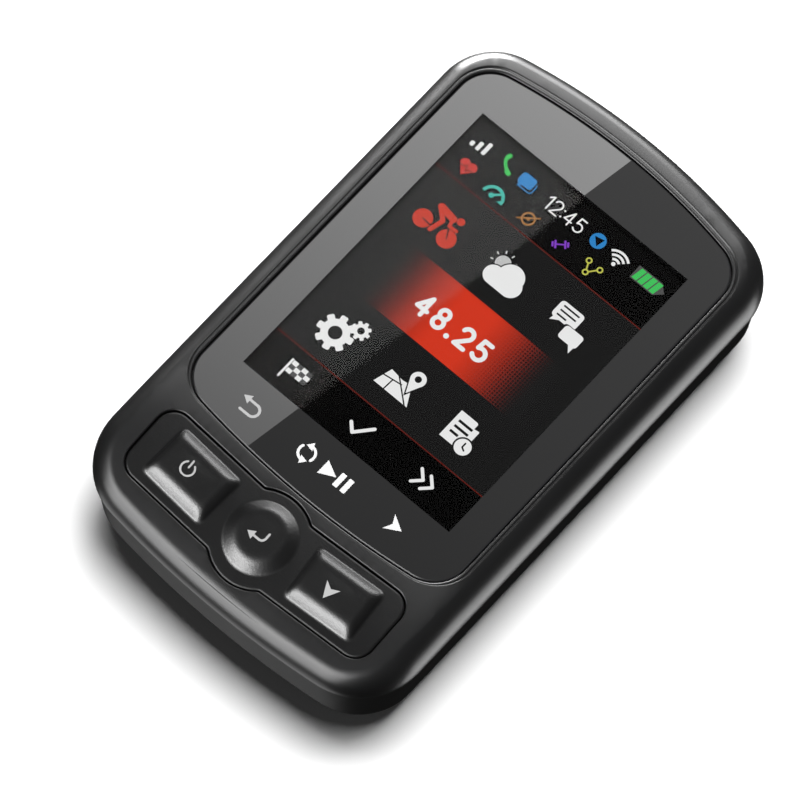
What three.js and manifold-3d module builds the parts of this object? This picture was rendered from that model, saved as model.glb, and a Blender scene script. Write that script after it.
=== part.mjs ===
// A bicycle GPS computer: a palm-sized sealed case with a flat cover glass, three rubber keys
// below it, a round quarter-turn mount on its back and a charging port under a rubber flap.
// Millimetres, +Z up through the screen, +Y towards the top of the screen, +X to its right.
// The origin is under the middle of the case, on the plane that the mount's face rests on.
import * as THREE from "three";
import { mergeVertices } from "three/addons/utils/BufferGeometryUtils.js";
import Module from "manifold-3d";

const wasm = await Module();
wasm.setup();

// ---------------------------------------------------------------------------------------------
// Driving dimensions
// ---------------------------------------------------------------------------------------------

// Case
const BODY_WIDTH = 50.4;
const BODY_LENGTH = 83;
const BODY_DEPTH = 16.6; // back face to front face
const FRONT_DEPTH = 5.1; // front face to the parting line
const TOP_ARC = 92; // radius of the shallow arc across the top end
const BOTTOM_ARC = 140;
const TOP_CORNER = 8.5;
const BOTTOM_CORNER = 9.5;
const SHOULDER = 3.3; // how far the front face's rounded shoulder reaches in
const END_SHOULDER = 2.4; // the same at the key end, where the face itself curves down
const RIM_BOTTOM_CORNER = 6;
const KEY_ROW_Y = 9.75 - BODY_LENGTH / 2; // centre of the round key
const DROOP_START = KEY_ROW_Y + 8.25; // from here to the key end the front face curves down
const DROOP_RADIUS = 55;
const BACK_FILLET = 3.8;
const BACK_STEP = 0.35; // the rear shell stands this far inside the front shell's edge
const BACK_DRAFT = 0.55;
const FLOOR = 1.6;
const WALL = 2.9; // case edge to the cavity of the rear shell
const RIM_WALL = 1.45; // case edge to the inside of the rear shell's rim
const LIP_INSET = 1.6;
const FRONT_WALL = 2.5;
const CEILING_DEPTH = 2.6; // front face to the underside of the front shell's top wall
const SEAL_LEDGE_DEPTH = 7.6; // front face to the ledge that carries the case seal
const SEAL_HEIGHT = 1.1;
const SEAL_WIDTH = 1.15;

// Clearances
const GAP = 0.1; // between stacked flat faces
const SIDE_GAP = 0.2; // between a piece and the recess that holds it
const KEY_GAP = 0.3;

// Quarter-turn mount
const BOSS_HEIGHT = 4.4;
const BOSS_RADIUS = 12.2;
const BOSS_Y = 2; // from the middle of the case
const LUG_RADIUS = 15.3;
const LUG_THICKNESS = 1.9;
const LUG_HALF_ANGLE = THREE.MathUtils.degToRad(26);
const BOSS_RECESS_RADIUS = 8.5;
const BOSS_RECESS_DEPTH = 1.2;
const DETENT_RADIUS = 0.9;

// Display
const ACTIVE_WIDTH = 33.84;
const ACTIVE_HEIGHT = 45.12;
const MODULE_SIDE = 2.2; // border of the module around the active area
const MODULE_TOP = 3;
const MODULE_BOTTOM = 5.6;
const MODULE_THICKNESS = 2.5;
const MODULE_WALL = 0.9;
const CELL_THICKNESS = 1.1;
const GUIDE_THICKNESS = 0.8;
const LENS_HALF_WIDTH = BODY_WIDTH / 2 - 3.7;
const LENS_TOP = BODY_LENGTH / 2 - 4.7;
const LENS_BOTTOM = KEY_ROW_Y + 7.25;
const DISPLAY_Y = (LENS_TOP + LENS_BOTTOM) / 2 + 0.4; // centre of the active area
const LENS_TOP_ARC = 90;
const LENS_BOTTOM_ARC = 125;
const LENS_CORNER = 5;
const LENS_THICKNESS = 1.15;
const TAPE_THICKNESS = 0.2;
const FLEX_WIDTH = 14;
const FLEX_THICKNESS = 0.16;

// Keypad
const PAD_TOP_END = KEY_ROW_Y + 5.75; // the pad's top edge at its ends
const PAD_HEIGHT = 10.1;
const PAD_BOW = 0.95; // how much lower its edges are near the middle
const PAD_CORNER = 2.5;
const BUMP_RADIUS = 6.4;
const BUMP_Y = KEY_ROW_Y - 0.2;
const PAD_FLANGE = 0.9;
const FLANGE_THICKNESS = 0.7;
const RETAINER_THICKNESS = 0.8;
const RETAINER_TOP = PAD_TOP_END + 1.6;
const STAKE_RADIUS = 0.55;
const STAKE_X = BODY_WIDTH / 2 - 3.7;
const STAKE_YS = [PAD_TOP_END - 0.5, PAD_TOP_END - 4];
const SIDE_KEY_Y = KEY_ROW_Y + 0.45;
const SIDE_KEY_WIDTH = 10.5;
const SIDE_KEY_HEIGHT = 7.8;
const SIDE_KEY_TURN = THREE.MathUtils.degToRad(4);
const SIDE_KEY_SLOPE_X = 1.5;
const SIDE_KEY_SLOPE_Y = 2;
const ROUND_KEY_RADIUS = 4.6;
const SIDE_KEY_X = ROUND_KEY_RADIUS + SIDE_KEY_WIDTH / 2 + 1.85;
const PAD_HALF_LENGTH = SIDE_KEY_X + SIDE_KEY_WIDTH / 2 + 2.85;
const ROUND_KEY_SLOPE = 1.8;
const KEY_RISE = 1.15; // how far a key stands above the pad
const KEY_TRAVEL = 0.5;
const PLUNGER_RADIUS = 1.5;
const PLUNGER_HOLE_RADIUS = 2;
const SWITCH_SIDE = 4.2;
const SWITCH_BASE_HEIGHT = 0.5;
const DOME_RADIUS = 1.8;
const DOME_HEIGHT = 0.4;
const DOME_SKIN = 0.12;

// Board and what it carries
const BOARD_DEPTH = 5.6; // front face to the board's upper side
const BOARD_THICKNESS = 1;
const BOARD_INSET = 3.35;
const BOARD_SCREW_X = 9.6;
const BOARD_SCREW_Y = BODY_LENGTH / 2 - 5.8;
const BOARD_POST_RADIUS = 1.8;
const BATTERY_WIDTH = BODY_WIDTH - 16.4;
const BATTERY_LENGTH = BODY_LENGTH - 40;
const BATTERY_THICKNESS = BODY_DEPTH - 11.2;
const BATTERY_Y = 5; // from the middle of the case
const FOAM_THICKNESS = 0.4;
const WIRE_RADIUS = 0.4;
const WIRE_SPACING = 1.4;
const WIRE_X = -12;

// Case screws
const TOP_SCREW_X = BODY_WIDTH / 2 - 10.2;
const TOP_SCREW_Y = BODY_LENGTH / 2 - 6.8;
const BOTTOM_SCREW_X = BODY_WIDTH / 2 - 8.6;
const BOTTOM_SCREW_Y = 7.4 - BODY_LENGTH / 2;
const SCREW_PLACES = [
  ["top_left", -TOP_SCREW_X, TOP_SCREW_Y],
  ["top_right", TOP_SCREW_X, TOP_SCREW_Y],
  ["bottom_left", -BOTTOM_SCREW_X, BOTTOM_SCREW_Y],
  ["bottom_right", BOTTOM_SCREW_X, BOTTOM_SCREW_Y],
];
const CASE_SCREW = { head: 1.9, headHeight: 1.3, shank: 0.95, length: 8, drive: 0.85 };
const BOARD_SCREW = { head: 1.5, headHeight: 0.9, shank: 0.75, length: 3.2, drive: 0.7 };
const SCREW_SEAT = 3; // back face to the shoulder that the head bears on
const REAR_POST_RADIUS = 2.8;
const FRONT_POST_RADIUS = 2.3;
const GUSSET_LENGTH = 8;
const GUSSET_WIDTH = 3;
const POST_CLEARANCE = 2.9; // radius of the notches that let the posts past the board

// Charging port
const PORT_Y = KEY_ROW_Y + 2.75;
const PORT_HOLE_LENGTH = 9.8;
const PORT_HOLE_WIDTH = 4;
const PORT_WALL = 2.6; // thickness of the floor around the port
const FLAP_THICKNESS = 0.9;
const FLAP_LENGTH = 15;
const FLAP_WIDTH = 7;
const HINGE_X = -7.85;
const HINGE_GAP = 0.5; // flap and anchor stand this far from the hinge line
const ANCHOR_LENGTH = 2.6;
const PLUG_LENGTH = 8.4;
const PLUG_WIDTH = 2.8;
const SOCKET_LENGTH = 9;
const SOCKET_WIDTH = 3.3;
const SOCKET_MOUTH_GAP = 0.6; // port floor to the socket's mouth
const VENT_X = 14.5;
const VENT_Y = BATTERY_Y - BATTERY_LENGTH / 2 - 4.5;
const VENT_RADIUS = 0.6;

// ---------------------------------------------------------------------------------------------
// Levels, worked out from the dimensions above
// ---------------------------------------------------------------------------------------------

const BACK_Z = BOSS_HEIGHT;
const FACE_Z = BACK_Z + BODY_DEPTH;
const PARTING_Z = FACE_Z - FRONT_DEPTH;
const CEILING_Z = FACE_Z - CEILING_DEPTH;
const FLOOR_Z = BACK_Z + FLOOR;
const SEAL_LEDGE_Z = FACE_Z - SEAL_LEDGE_DEPTH;
const LIP_Z = SEAL_LEDGE_Z + SEAL_HEIGHT + 1.5 * GAP;
const LENS_TOP_Z = FACE_Z - GAP / 2;
const LENS_BOTTOM_Z = LENS_TOP_Z - LENS_THICKNESS;
const TAPE_TOP_Z = LENS_BOTTOM_Z - GAP / 2;
const SEAT_Z = TAPE_TOP_Z - TAPE_THICKNESS - GAP / 2;
const MODULE_TOP_Z = SEAT_Z - GAP / 2;
const MODULE_BOTTOM_Z = MODULE_TOP_Z - MODULE_THICKNESS;
const MODULE_WIDTH = ACTIVE_WIDTH + 2 * MODULE_SIDE;
const MODULE_LENGTH = ACTIVE_HEIGHT + MODULE_TOP + MODULE_BOTTOM;
const MODULE_Y = DISPLAY_Y + (MODULE_TOP - MODULE_BOTTOM) / 2;
const BOARD_TOP_Z = FACE_Z - BOARD_DEPTH;
const BOARD_BOTTOM_Z = BOARD_TOP_Z - BOARD_THICKNESS;
const UNDER_BOARD_Z = BOARD_BOTTOM_Z - GAP;
const FLANGE_TOP_Z = CEILING_Z - GAP;
const FLANGE_BOTTOM_Z = FLANGE_TOP_Z - FLANGE_THICKNESS;
const RETAINER_TOP_Z = FLANGE_BOTTOM_Z - GAP;
const RETAINER_BOTTOM_Z = RETAINER_TOP_Z - RETAINER_THICKNESS;
const KEY_BOTTOM_Z = RETAINER_TOP_Z + KEY_TRAVEL + 2 * GAP;
const SWITCH_TOP_Z = BOARD_TOP_Z + GAP / 2 + SWITCH_BASE_HEIGHT;
const DOME_TOP_Z = SWITCH_TOP_Z + GAP / 2 + DOME_HEIGHT;
const PLUNGER_BOTTOM_Z = Math.max(DOME_TOP_Z + GAP / 2, SWITCH_TOP_Z + KEY_TRAVEL + GAP / 2);
const PORT_FLOOR_Z = BACK_Z + PORT_WALL;
const FLAP_BOTTOM_Z = BACK_Z + GAP / 2;
const FLAP_TOP_Z = FLAP_BOTTOM_Z + FLAP_THICKNESS;
const PORT_RECESS_Z = FLAP_TOP_Z + GAP;
const FOAM_BOTTOM_Z = FLOOR_Z + GAP / 2;
const BATTERY_BOTTOM_Z = FOAM_BOTTOM_Z + FOAM_THICKNESS + GAP / 2;
const BATTERY_END_Y = BATTERY_Y - BATTERY_LENGTH / 2;
const POST_SPLIT_Z = BACK_Z + 5.6; // where the rear posts end and the front posts begin
const SCREW_SEAT_Z = BACK_Z + SCREW_SEAT - GAP / 2;

// How far the front face has curved down at y.
const faceDrop = (y) => (y < DROOP_START ? (DROOP_START - y) ** 2 / (2 * DROOP_RADIUS) : 0);

// ---------------------------------------------------------------------------------------------
// Materials
// ---------------------------------------------------------------------------------------------

const finish = (color, roughness, metalness = 0, extra = {}) =>
  new THREE.MeshStandardMaterial({ color, roughness, metalness, ...extra });
const MATERIALS = {
  shell: finish(0x1d1d1f, 0.48),
  rubber: finish(0x19191a, 0.72),
  soft: finish(0x2b2b2c, 0.9),
  glass: finish(0x202124, 0.06, 0, { transparent: true, opacity: 0.35 }),
  screen: finish(0x0a0a0c, 0.15),
  plastic: finish(0xe4e4de, 0.55),
  board: finish(0x12452b, 0.5),
  chip: finish(0x17171a, 0.45),
  tin: finish(0xb9bcc0, 0.35, 0.9),
  steel: finish(0x8f9296, 0.35, 0.95),
  ceramic: finish(0xd9d2c0, 0.6),
  pouch: finish(0xa9adb3, 0.4, 0.6),
  flex: finish(0xa8631d, 0.5),
  redWire: finish(0xb01c1c, 0.55),
  blackWire: finish(0x161616, 0.55),
};

// ---------------------------------------------------------------------------------------------
// Solid tools
// ---------------------------------------------------------------------------------------------

function toSolid(geometry) {
  const bare = geometry.index ? geometry.toNonIndexed() : geometry.clone();
  bare.deleteAttribute("normal");
  bare.deleteAttribute("uv");
  const merged = mergeVertices(bare, 1e-3);
  return new wasm.Manifold(
    new wasm.Mesh({
      numProp: 3,
      vertProperties: merged.attributes.position.array,
      triVerts: new Uint32Array(merged.index.array),
    }),
  );
}

function toGeometry(solid) {
  const mesh = solid.getMesh();
  const positions = new THREE.BufferAttribute(Float32Array.from(mesh.vertProperties), 3);
  const geometry = new THREE.BufferGeometry().setAttribute("position", positions);
  geometry.setIndex(new THREE.BufferAttribute(Uint32Array.from(mesh.triVerts), 1));
  geometry.computeVertexNormals();
  return geometry;
}

const combine = (operation) => (first, ...others) =>
  toGeometry(others.reduce((made, next) => made[operation](toSolid(next)), toSolid(first)));
const cut = combine("subtract");
const join = combine("add");
const overlap = combine("intersect");

// ---------------------------------------------------------------------------------------------
// Shapes
// ---------------------------------------------------------------------------------------------

// A plan outline with straight sides, a shallow arc across each end and rounded corners.
class Outline {
  constructor(sizes) {
    Object.assign(this, sizes);
  }

  inset(d) {
    return new Outline({
      halfWidth: this.halfWidth - d,
      top: this.top - d,
      bottom: this.bottom + d,
      topArc: this.topArc - d,
      bottomArc: this.bottomArc - d,
      topCorner: this.topCorner - d,
      bottomCorner: this.bottomCorner - d,
    });
  }

  // Half of one end, as offsets [x, distance in from the end], from the middle to the side.
  static end(halfWidth, arc, corner, arcSteps, cornerSteps) {
    const reach = halfWidth - corner;
    const turn = Math.asin(reach / (arc - corner));
    const drop = arc - Math.sqrt((arc - corner) ** 2 - reach ** 2);
    const points = [];
    for (let i = 0; i <= arcSteps; i++) {
      const a = (turn * i) / arcSteps;
      points.push([arc * Math.sin(a), arc * (1 - Math.cos(a))]);
    }
    for (let i = 1; i <= cornerSteps; i++) {
      const a = turn + ((Math.PI / 2 - turn) * i) / cornerSteps;
      points.push([reach + corner * Math.sin(a), drop - corner * Math.cos(a)]);
    }
    return points;
  }

  // Points counter-clockwise from the middle of the bottom end, mirrored about the Y axis.
  points(arcSteps = 4, cornerSteps = 6, sideSteps = 7) {
    const low = Outline.end(this.halfWidth, this.bottomArc, this.bottomCorner, arcSteps, cornerSteps);
    const high = Outline.end(this.halfWidth, this.topArc, this.topCorner, arcSteps, cornerSteps);
    const right = low.map(([x, d]) => new THREE.Vector2(x, this.bottom + d));
    const end = right.at(-1);
    const upper = high.map(([x, d]) => new THREE.Vector2(x, this.top - d)).reverse();
    for (let i = 1; i < sideSteps; i++) right.push(end.clone().lerp(upper[0], i / sideSteps));
    right.push(...upper);
    const left = right.slice(1, -1).reverse();
    return [...right, ...left.map((p) => new THREE.Vector2(-p.x, p.y))];
  }

  shape(...steps) {
    return new THREE.Shape(this.points(...steps));
  }
}

// A closed skin through rings of equal length, lowest first. Rings are mirrored about the
// Y axis, so each cap is a row of strips from side to side.
function loft(rings) {
  const count = rings[0].length;
  const faces = [];
  const capStrips = (start, flip) => {
    for (let i = 0; i < count / 2; i++) {
      const a = start + i;
      const b = start + i + 1;
      const c = start + ((count - i - 1) % count);
      const d = start + ((count - i) % count);
      if (b !== c) faces.push(flip ? [a, c, b] : [a, b, c]);
      if (i > 0) faces.push(flip ? [a, d, c] : [a, c, d]);
    }
  };
  for (let ring = 0; ring + 1 < rings.length; ring++) {
    for (let i = 0; i < count; i++) {
      const a = ring * count + i;
      const b = ring * count + ((i + 1) % count);
      faces.push([a, b, b + count], [a, b + count, a + count]);
    }
  }
  capStrips(0, true);
  capStrips((rings.length - 1) * count, false);
  const geometry = new THREE.BufferGeometry().setFromPoints(rings.flat());
  geometry.setIndex(faces.flat());
  geometry.computeVertexNormals();
  return geometry;
}

const level = (points, z) =>
  points.map((p) => new THREE.Vector3(p.x, p.y, typeof z === "function" ? z(p) : z));

const prism = (shape, low, high, curveSegments = 8) =>
  new THREE.ExtrudeGeometry(shape, { depth: high - low, bevelEnabled: false, curveSegments }).translate(
    0,
    0,
    low,
  );

function roundedBox(width, length, radius, x = 0, y = 0) {
  const [w, l] = [width / 2, length / 2];
  const shape = new THREE.Shape();
  shape.absarc(x + w - radius, y + l - radius, radius, 0, Math.PI / 2);
  shape.absarc(x - w + radius, y + l - radius, radius, Math.PI / 2, Math.PI);
  shape.absarc(x - w + radius, y - l + radius, radius, Math.PI, 1.5 * Math.PI);
  shape.absarc(x + w - radius, y - l + radius, radius, 1.5 * Math.PI, 2 * Math.PI);
  return shape;
}

const block = (width, length, low, high, x = 0, y = 0) =>
  new THREE.BoxGeometry(width, length, high - low).translate(x, y, (low + high) / 2);

const drum = (radius, low, high, x = 0, y = 0, sides = 20) =>
  new THREE.CylinderGeometry(radius, radius, high - low, sides)
    .rotateX(Math.PI / 2)
    .translate(x, y, (low + high) / 2);

// A flat ring between two outlines.
function ring(outer, inner, low, high) {
  const shape = outer.shape();
  shape.holes.push(new THREE.Path(inner.points()));
  return prism(shape, low, high);
}

// A screw pointing up, with its head's flat underside at seat.
function screw({ head, headHeight, shank, length, drive }, x, y, seat) {
  const rim = 0.25;
  const profile = [
    [0, -headHeight],
    [head - rim, -headHeight],
    [head, rim - headHeight],
    [head, 0],
    [shank, 0],
    [shank, length - shank],
    [shank / 2, length],
    [0, length],
  ].map(([r, z]) => new THREE.Vector2(r, z));
  const body = new THREE.LatheGeometry(profile, 16).rotateX(Math.PI / 2);
  const socket = drum(drive, -headHeight - 1, -headHeight / 2, 0, 0, 6);
  return cut(body, socket).translate(x, y, seat);
}

// ---------------------------------------------------------------------------------------------
// Outlines
// ---------------------------------------------------------------------------------------------

const CASE = new Outline({
  halfWidth: BODY_WIDTH / 2,
  top: BODY_LENGTH / 2,
  bottom: -BODY_LENGTH / 2,
  topArc: TOP_ARC,
  bottomArc: BOTTOM_ARC,
  topCorner: TOP_CORNER,
  bottomCorner: BOTTOM_CORNER,
});
const RIM = new Outline({
  halfWidth: BODY_WIDTH / 2 - SHOULDER,
  top: BODY_LENGTH / 2 - SHOULDER,
  bottom: END_SHOULDER - BODY_LENGTH / 2,
  topArc: TOP_ARC - SHOULDER,
  bottomArc: BOTTOM_ARC - END_SHOULDER,
  topCorner: TOP_CORNER - SHOULDER,
  bottomCorner: RIM_BOTTOM_CORNER,
});
const LENS = new Outline({
  halfWidth: LENS_HALF_WIDTH,
  top: LENS_TOP,
  bottom: LENS_BOTTOM,
  topArc: LENS_TOP_ARC,
  bottomArc: LENS_BOTTOM_ARC,
  topCorner: LENS_CORNER,
  bottomCorner: LENS_CORNER,
});

const moduleShape = (grow, radius) =>
  roundedBox(MODULE_WIDTH + 2 * grow, MODULE_LENGTH + 2 * grow, radius, 0, MODULE_Y);

// The keypad's outline, grown by a margin: a bowed band with a round bump in its middle.
function padPrism(grow, low, high) {
  const end = PAD_HALF_LENGTH + grow;
  const top = PAD_TOP_END + grow;
  const bottom = PAD_TOP_END - PAD_HEIGHT - grow;
  const corner = PAD_CORNER + grow;
  const band = new THREE.Shape()
    .moveTo(0, top - PAD_BOW)
    .lineTo(corner - end, top)
    .quadraticCurveTo(-end, top, -end, top - corner)
    .lineTo(-end, bottom + corner)
    .quadraticCurveTo(-end, bottom, corner - end, bottom)
    .lineTo(0, bottom - PAD_BOW)
    .lineTo(end - corner, bottom)
    .quadraticCurveTo(end, bottom, end, bottom + corner)
    .lineTo(end, top - corner)
    .quadraticCurveTo(end, top, end - corner, top);
  return join(prism(band, low, high, 5), drum(BUMP_RADIUS + grow, low, high, 0, BUMP_Y, 28));
}

// ---------------------------------------------------------------------------------------------
// Case
// ---------------------------------------------------------------------------------------------

// The solid that the front shell is cut from: its edge, its rounded shoulder and its face. The
// shoulder is sheared so that it meets the curved face at the face's own slope.
function frontBlank(lower = 0) {
  const edge = CASE.points();
  const rim = RIM.points();
  const steps = 5;
  const rings = [level(edge, PARTING_Z + GAP / 2)];
  for (let i = 1; i <= steps; i++) {
    const a = ((Math.PI / 2) * i) / steps;
    const ring = rim.map((r, k) => {
      const p = r.clone().lerp(edge[k], Math.cos(a));
      const top = FACE_Z - faceDrop(r.y) - lower;
      const slope = Math.max(0, (DROOP_START - r.y) / DROOP_RADIUS);
      const rise = top - slope * (r.y - edge[k].y) - PARTING_Z;
      return new THREE.Vector3(p.x, p.y, top - slope * (r.y - p.y) - rise * (1 - Math.sin(a)));
    });
    rings.push(ring);
  }
  return loft(rings);
}

function frontShell() {
  const cavity = prism(CASE.inset(FRONT_WALL).shape(), PARTING_Z - 5, CEILING_Z);
  const lensSeat = prism(LENS.inset(-SIDE_GAP).shape(), SEAT_Z, FACE_Z + 1);
  const moduleHole = prism(moduleShape(SIDE_GAP, 1), CEILING_Z - 1, FACE_Z);
  const padHole = padPrism(KEY_GAP, FLANGE_TOP_Z - GAP, FACE_Z + 1);
  const lip = ring(CASE.inset(LIP_INSET), CASE.inset(FRONT_WALL), LIP_Z, PARTING_Z + 1);
  // The posts under the keypad stop short of it, and a gusset ties each to the side wall.
  const posts = SCREW_PLACES.flatMap(([, x, y]) => {
    const top = y > 0 ? CEILING_Z + 0.5 : RETAINER_BOTTOM_Z - 2 * GAP;
    const post = drum(FRONT_POST_RADIUS, POST_SPLIT_Z + GAP, top, x, y, 16);
    const gussetX = x + (Math.sign(x) * GUSSET_LENGTH) / 2;
    const gusset = block(GUSSET_LENGTH, GUSSET_WIDTH, BOARD_TOP_Z + GAP, top, gussetX, y);
    return y > 0 ? [post] : [post, gusset];
  });
  const boardPosts = [-1, 1].map((side) =>
    drum(BOARD_POST_RADIUS, BOARD_TOP_Z + GAP, CEILING_Z + 0.5, side * BOARD_SCREW_X, BOARD_SCREW_Y, 16),
  );
  const stakes = [-1, 1].flatMap((side) =>
    STAKE_YS.map((y) =>
      drum(STAKE_RADIUS, RETAINER_BOTTOM_Z - 2 * GAP, CEILING_Z + 0.5, side * STAKE_X, y, 10),
    ),
  );
  const pilots = SCREW_PLACES.map(([, x, y]) =>
    drum(CASE_SCREW.shank + GAP, POST_SPLIT_Z - 1, SCREW_SEAT_Z + CASE_SCREW.length + 0.4, x, y, 16),
  );
  const boardPilots = [-1, 1].map((side) =>
    drum(BOARD_SCREW.shank + GAP, BOARD_TOP_Z - 1, CEILING_Z, side * BOARD_SCREW_X, BOARD_SCREW_Y, 16),
  );
  const hollow = cut(frontBlank(), cavity, lensSeat, moduleHole, padHole);
  const inside = join(
    prism(CASE.inset(LIP_INSET).shape(), LIP_Z, FACE_Z - 1),
    prism(CASE.inset(WALL + SIDE_GAP).shape(), POST_SPLIT_Z, LIP_Z + 0.1),
  );
  const furniture = overlap(join(lip, ...posts, ...boardPosts, ...stakes), inside);
  const flexRelief = block(
    FLEX_WIDTH + 1,
    3,
    CEILING_Z - 1,
    MODULE_TOP_Z - CELL_THICKNESS / 2 + 0.15,
    0,
    MODULE_Y - MODULE_LENGTH / 2,
  );
  return cut(join(hollow, furniture), ...pilots, ...boardPilots, lensSeat, flexRelief);
}

function rearShell() {
  const wall = BACK_STEP + BACK_DRAFT;
  const rings = [];
  const steps = 5;
  for (let i = 0; i <= steps; i++) {
    const a = ((Math.PI / 2) * i) / steps;
    const inset = wall + BACK_FILLET * (1 - Math.sin(a));
    rings.push(level(CASE.inset(inset).points(), BACK_Z + BACK_FILLET * (1 - Math.cos(a))));
  }
  rings.push(level(CASE.inset(BACK_STEP).points(), PARTING_Z - GAP / 2));
  const cavity = loft([
    level(CASE.inset(WALL + 1).points(), FLOOR_Z),
    level(CASE.inset(WALL).points(), FLOOR_Z + 1),
    level(CASE.inset(WALL).points(), PARTING_Z + 1),
  ]);
  const rimCavity = prism(CASE.inset(RIM_WALL).shape(), SEAL_LEDGE_Z, PARTING_Z + 1);
  const shell = cut(loft(rings), cavity, rimCavity);

  const posts = SCREW_PLACES.map(([, x, y]) => drum(REAR_POST_RADIUS, FLOOR_Z - 0.5, POST_SPLIT_Z, x, y, 16));
  const inside = prism(CASE.inset(wall + 0.6).shape(), FLOOR_Z - 1, POST_SPLIT_Z + 1);
  const portWall = prism(roundedBox(18, 9, 2, -1.6, PORT_Y), FLOOR_Z - 0.5, PORT_FLOOR_Z);
  const built = join(shell, overlap(join(portWall, ...posts), inside), mountBoss());

  const screwHoles = SCREW_PLACES.flatMap(([, x, y]) => [
    drum(CASE_SCREW.shank + 0.25, BACK_Z - 1, POST_SPLIT_Z + 1, x, y, 16),
    drum(CASE_SCREW.head + 0.3, BACK_Z - 1, BACK_Z + SCREW_SEAT, x, y, 20),
  ]);
  const recessLow = HINGE_X - HINGE_GAP - ANCHOR_LENGTH - 2 * SIDE_GAP;
  const recessHigh = HINGE_X + HINGE_GAP + FLAP_LENGTH + 2 * SIDE_GAP;
  const recess = prism(
    roundedBox(recessHigh - recessLow, FLAP_WIDTH + 2 * SIDE_GAP, 2, (recessLow + recessHigh) / 2, PORT_Y),
    BACK_Z - 1,
    PORT_RECESS_Z,
  );
  const portHole = prism(
    roundedBox(PORT_HOLE_LENGTH, PORT_HOLE_WIDTH, 1.9, 0, PORT_Y),
    BACK_Z,
    PORT_FLOOR_Z + 1,
  );
  const anchorHole = drum(anchorStem() + GAP, BACK_Z, PORT_FLOOR_Z + 1, anchorX(), PORT_Y, 16);
  const vent = drum(VENT_RADIUS, BACK_Z - 1, FLOOR_Z + 1, VENT_X, VENT_Y, 12);
  return cut(built, ...screwHoles, recess, portHole, anchorHole, vent);
}

// The round boss with two lugs that a handlebar bracket takes with a quarter turn.
function mountBoss() {
  const lugs = [0, Math.PI].map((middle) => {
    const arc = new THREE.Path()
      .absarc(0, BOSS_Y, LUG_RADIUS, middle - LUG_HALF_ANGLE, middle + LUG_HALF_ANGLE)
      .getPoints(10);
    return prism(new THREE.Shape([new THREE.Vector2(0, BOSS_Y), ...arc]), 0, LUG_THICKNESS);
  });
  const detentX = LUG_RADIUS + DETENT_RADIUS / 3;
  const detents = [-1, 1].map((side) => drum(DETENT_RADIUS, -1, BACK_Z, side * detentX, BOSS_Y, 12));
  const neck = drum(BOSS_RADIUS, 0, BACK_Z + 0.8, 0, BOSS_Y, 40);
  const recess = drum(BOSS_RECESS_RADIUS, -1, BOSS_RECESS_DEPTH, 0, BOSS_Y, 32);
  return cut(join(neck, ...lugs), recess, ...detents);
}

const caseSeal = () =>
  ring(
    CASE.inset(LIP_INSET),
    CASE.inset(LIP_INSET + SEAL_WIDTH),
    SEAL_LEDGE_Z + GAP / 2,
    SEAL_LEDGE_Z + SEAL_HEIGHT,
  );

// ---------------------------------------------------------------------------------------------
// Display
// ---------------------------------------------------------------------------------------------

const lens = () => prism(LENS.shape(), LENS_BOTTOM_Z, LENS_TOP_Z);

const lensTape = () =>
  cut(
    prism(LENS.inset(SIDE_GAP).shape(), TAPE_TOP_Z - TAPE_THICKNESS, TAPE_TOP_Z),
    prism(moduleShape(SIDE_GAP, 1), 0, FACE_Z, 3),
  );

function lcdFrame() {
  const outer = prism(moduleShape(0, 0.8), MODULE_BOTTOM_Z, MODULE_TOP_Z, 3);
  const pocket = prism(moduleShape(-MODULE_WALL, 0.4), MODULE_BOTTOM_Z + 0.4, MODULE_TOP_Z + 1, 2);
  const flexSlot = block(
    FLEX_WIDTH + 2 * SIDE_GAP,
    3,
    MODULE_TOP_Z - CELL_THICKNESS,
    MODULE_TOP_Z + 1,
    0,
    MODULE_Y - MODULE_LENGTH / 2,
  );
  return cut(outer, pocket, flexSlot);
}

const guideTop = () => MODULE_TOP_Z - CELL_THICKNESS - GAP;
const lightGuide = () =>
  prism(moduleShape(-MODULE_WALL - SIDE_GAP, 0.3), guideTop() - GUIDE_THICKNESS, guideTop(), 2);
const lcdCell = () =>
  prism(moduleShape(-MODULE_WALL - SIDE_GAP, 0.3), MODULE_TOP_Z - CELL_THICKNESS, MODULE_TOP_Z, 2);

const FLEX_START_Y = MODULE_Y - MODULE_LENGTH / 2 + MODULE_WALL;
const CONNECTOR_Y = FLEX_START_Y + 5.2;
const CONNECTOR_LENGTH = 3;
const CONNECTOR_HEIGHT = 0.9;

// The ribbon leaves the cell's end, turns down past the frame and back to its connector.
function lcdFlex() {
  const start = MODULE_TOP_Z - CELL_THICKNESS / 2;
  const end = BOARD_TOP_Z + GAP + CONNECTOR_HEIGHT / 2;
  const route = new THREE.CatmullRomCurve3([
    new THREE.Vector3(0, FLEX_START_Y - 0.3, start),
    new THREE.Vector3(0, FLEX_START_Y - 1, start - 0.05),
    new THREE.Vector3(0, FLEX_START_Y - 1.45, start - 0.6),
    new THREE.Vector3(0, FLEX_START_Y - 1.5, (start + end) / 2),
    new THREE.Vector3(0, FLEX_START_Y - 1.3, end + 0.45),
    new THREE.Vector3(0, FLEX_START_Y - 0.5, end + 0.05),
    new THREE.Vector3(0, CONNECTOR_Y - CONNECTOR_LENGTH / 2 - GAP, end),
  ]);
  return ribbon(route, FLEX_WIDTH, FLEX_THICKNESS, 18);
}

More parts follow.
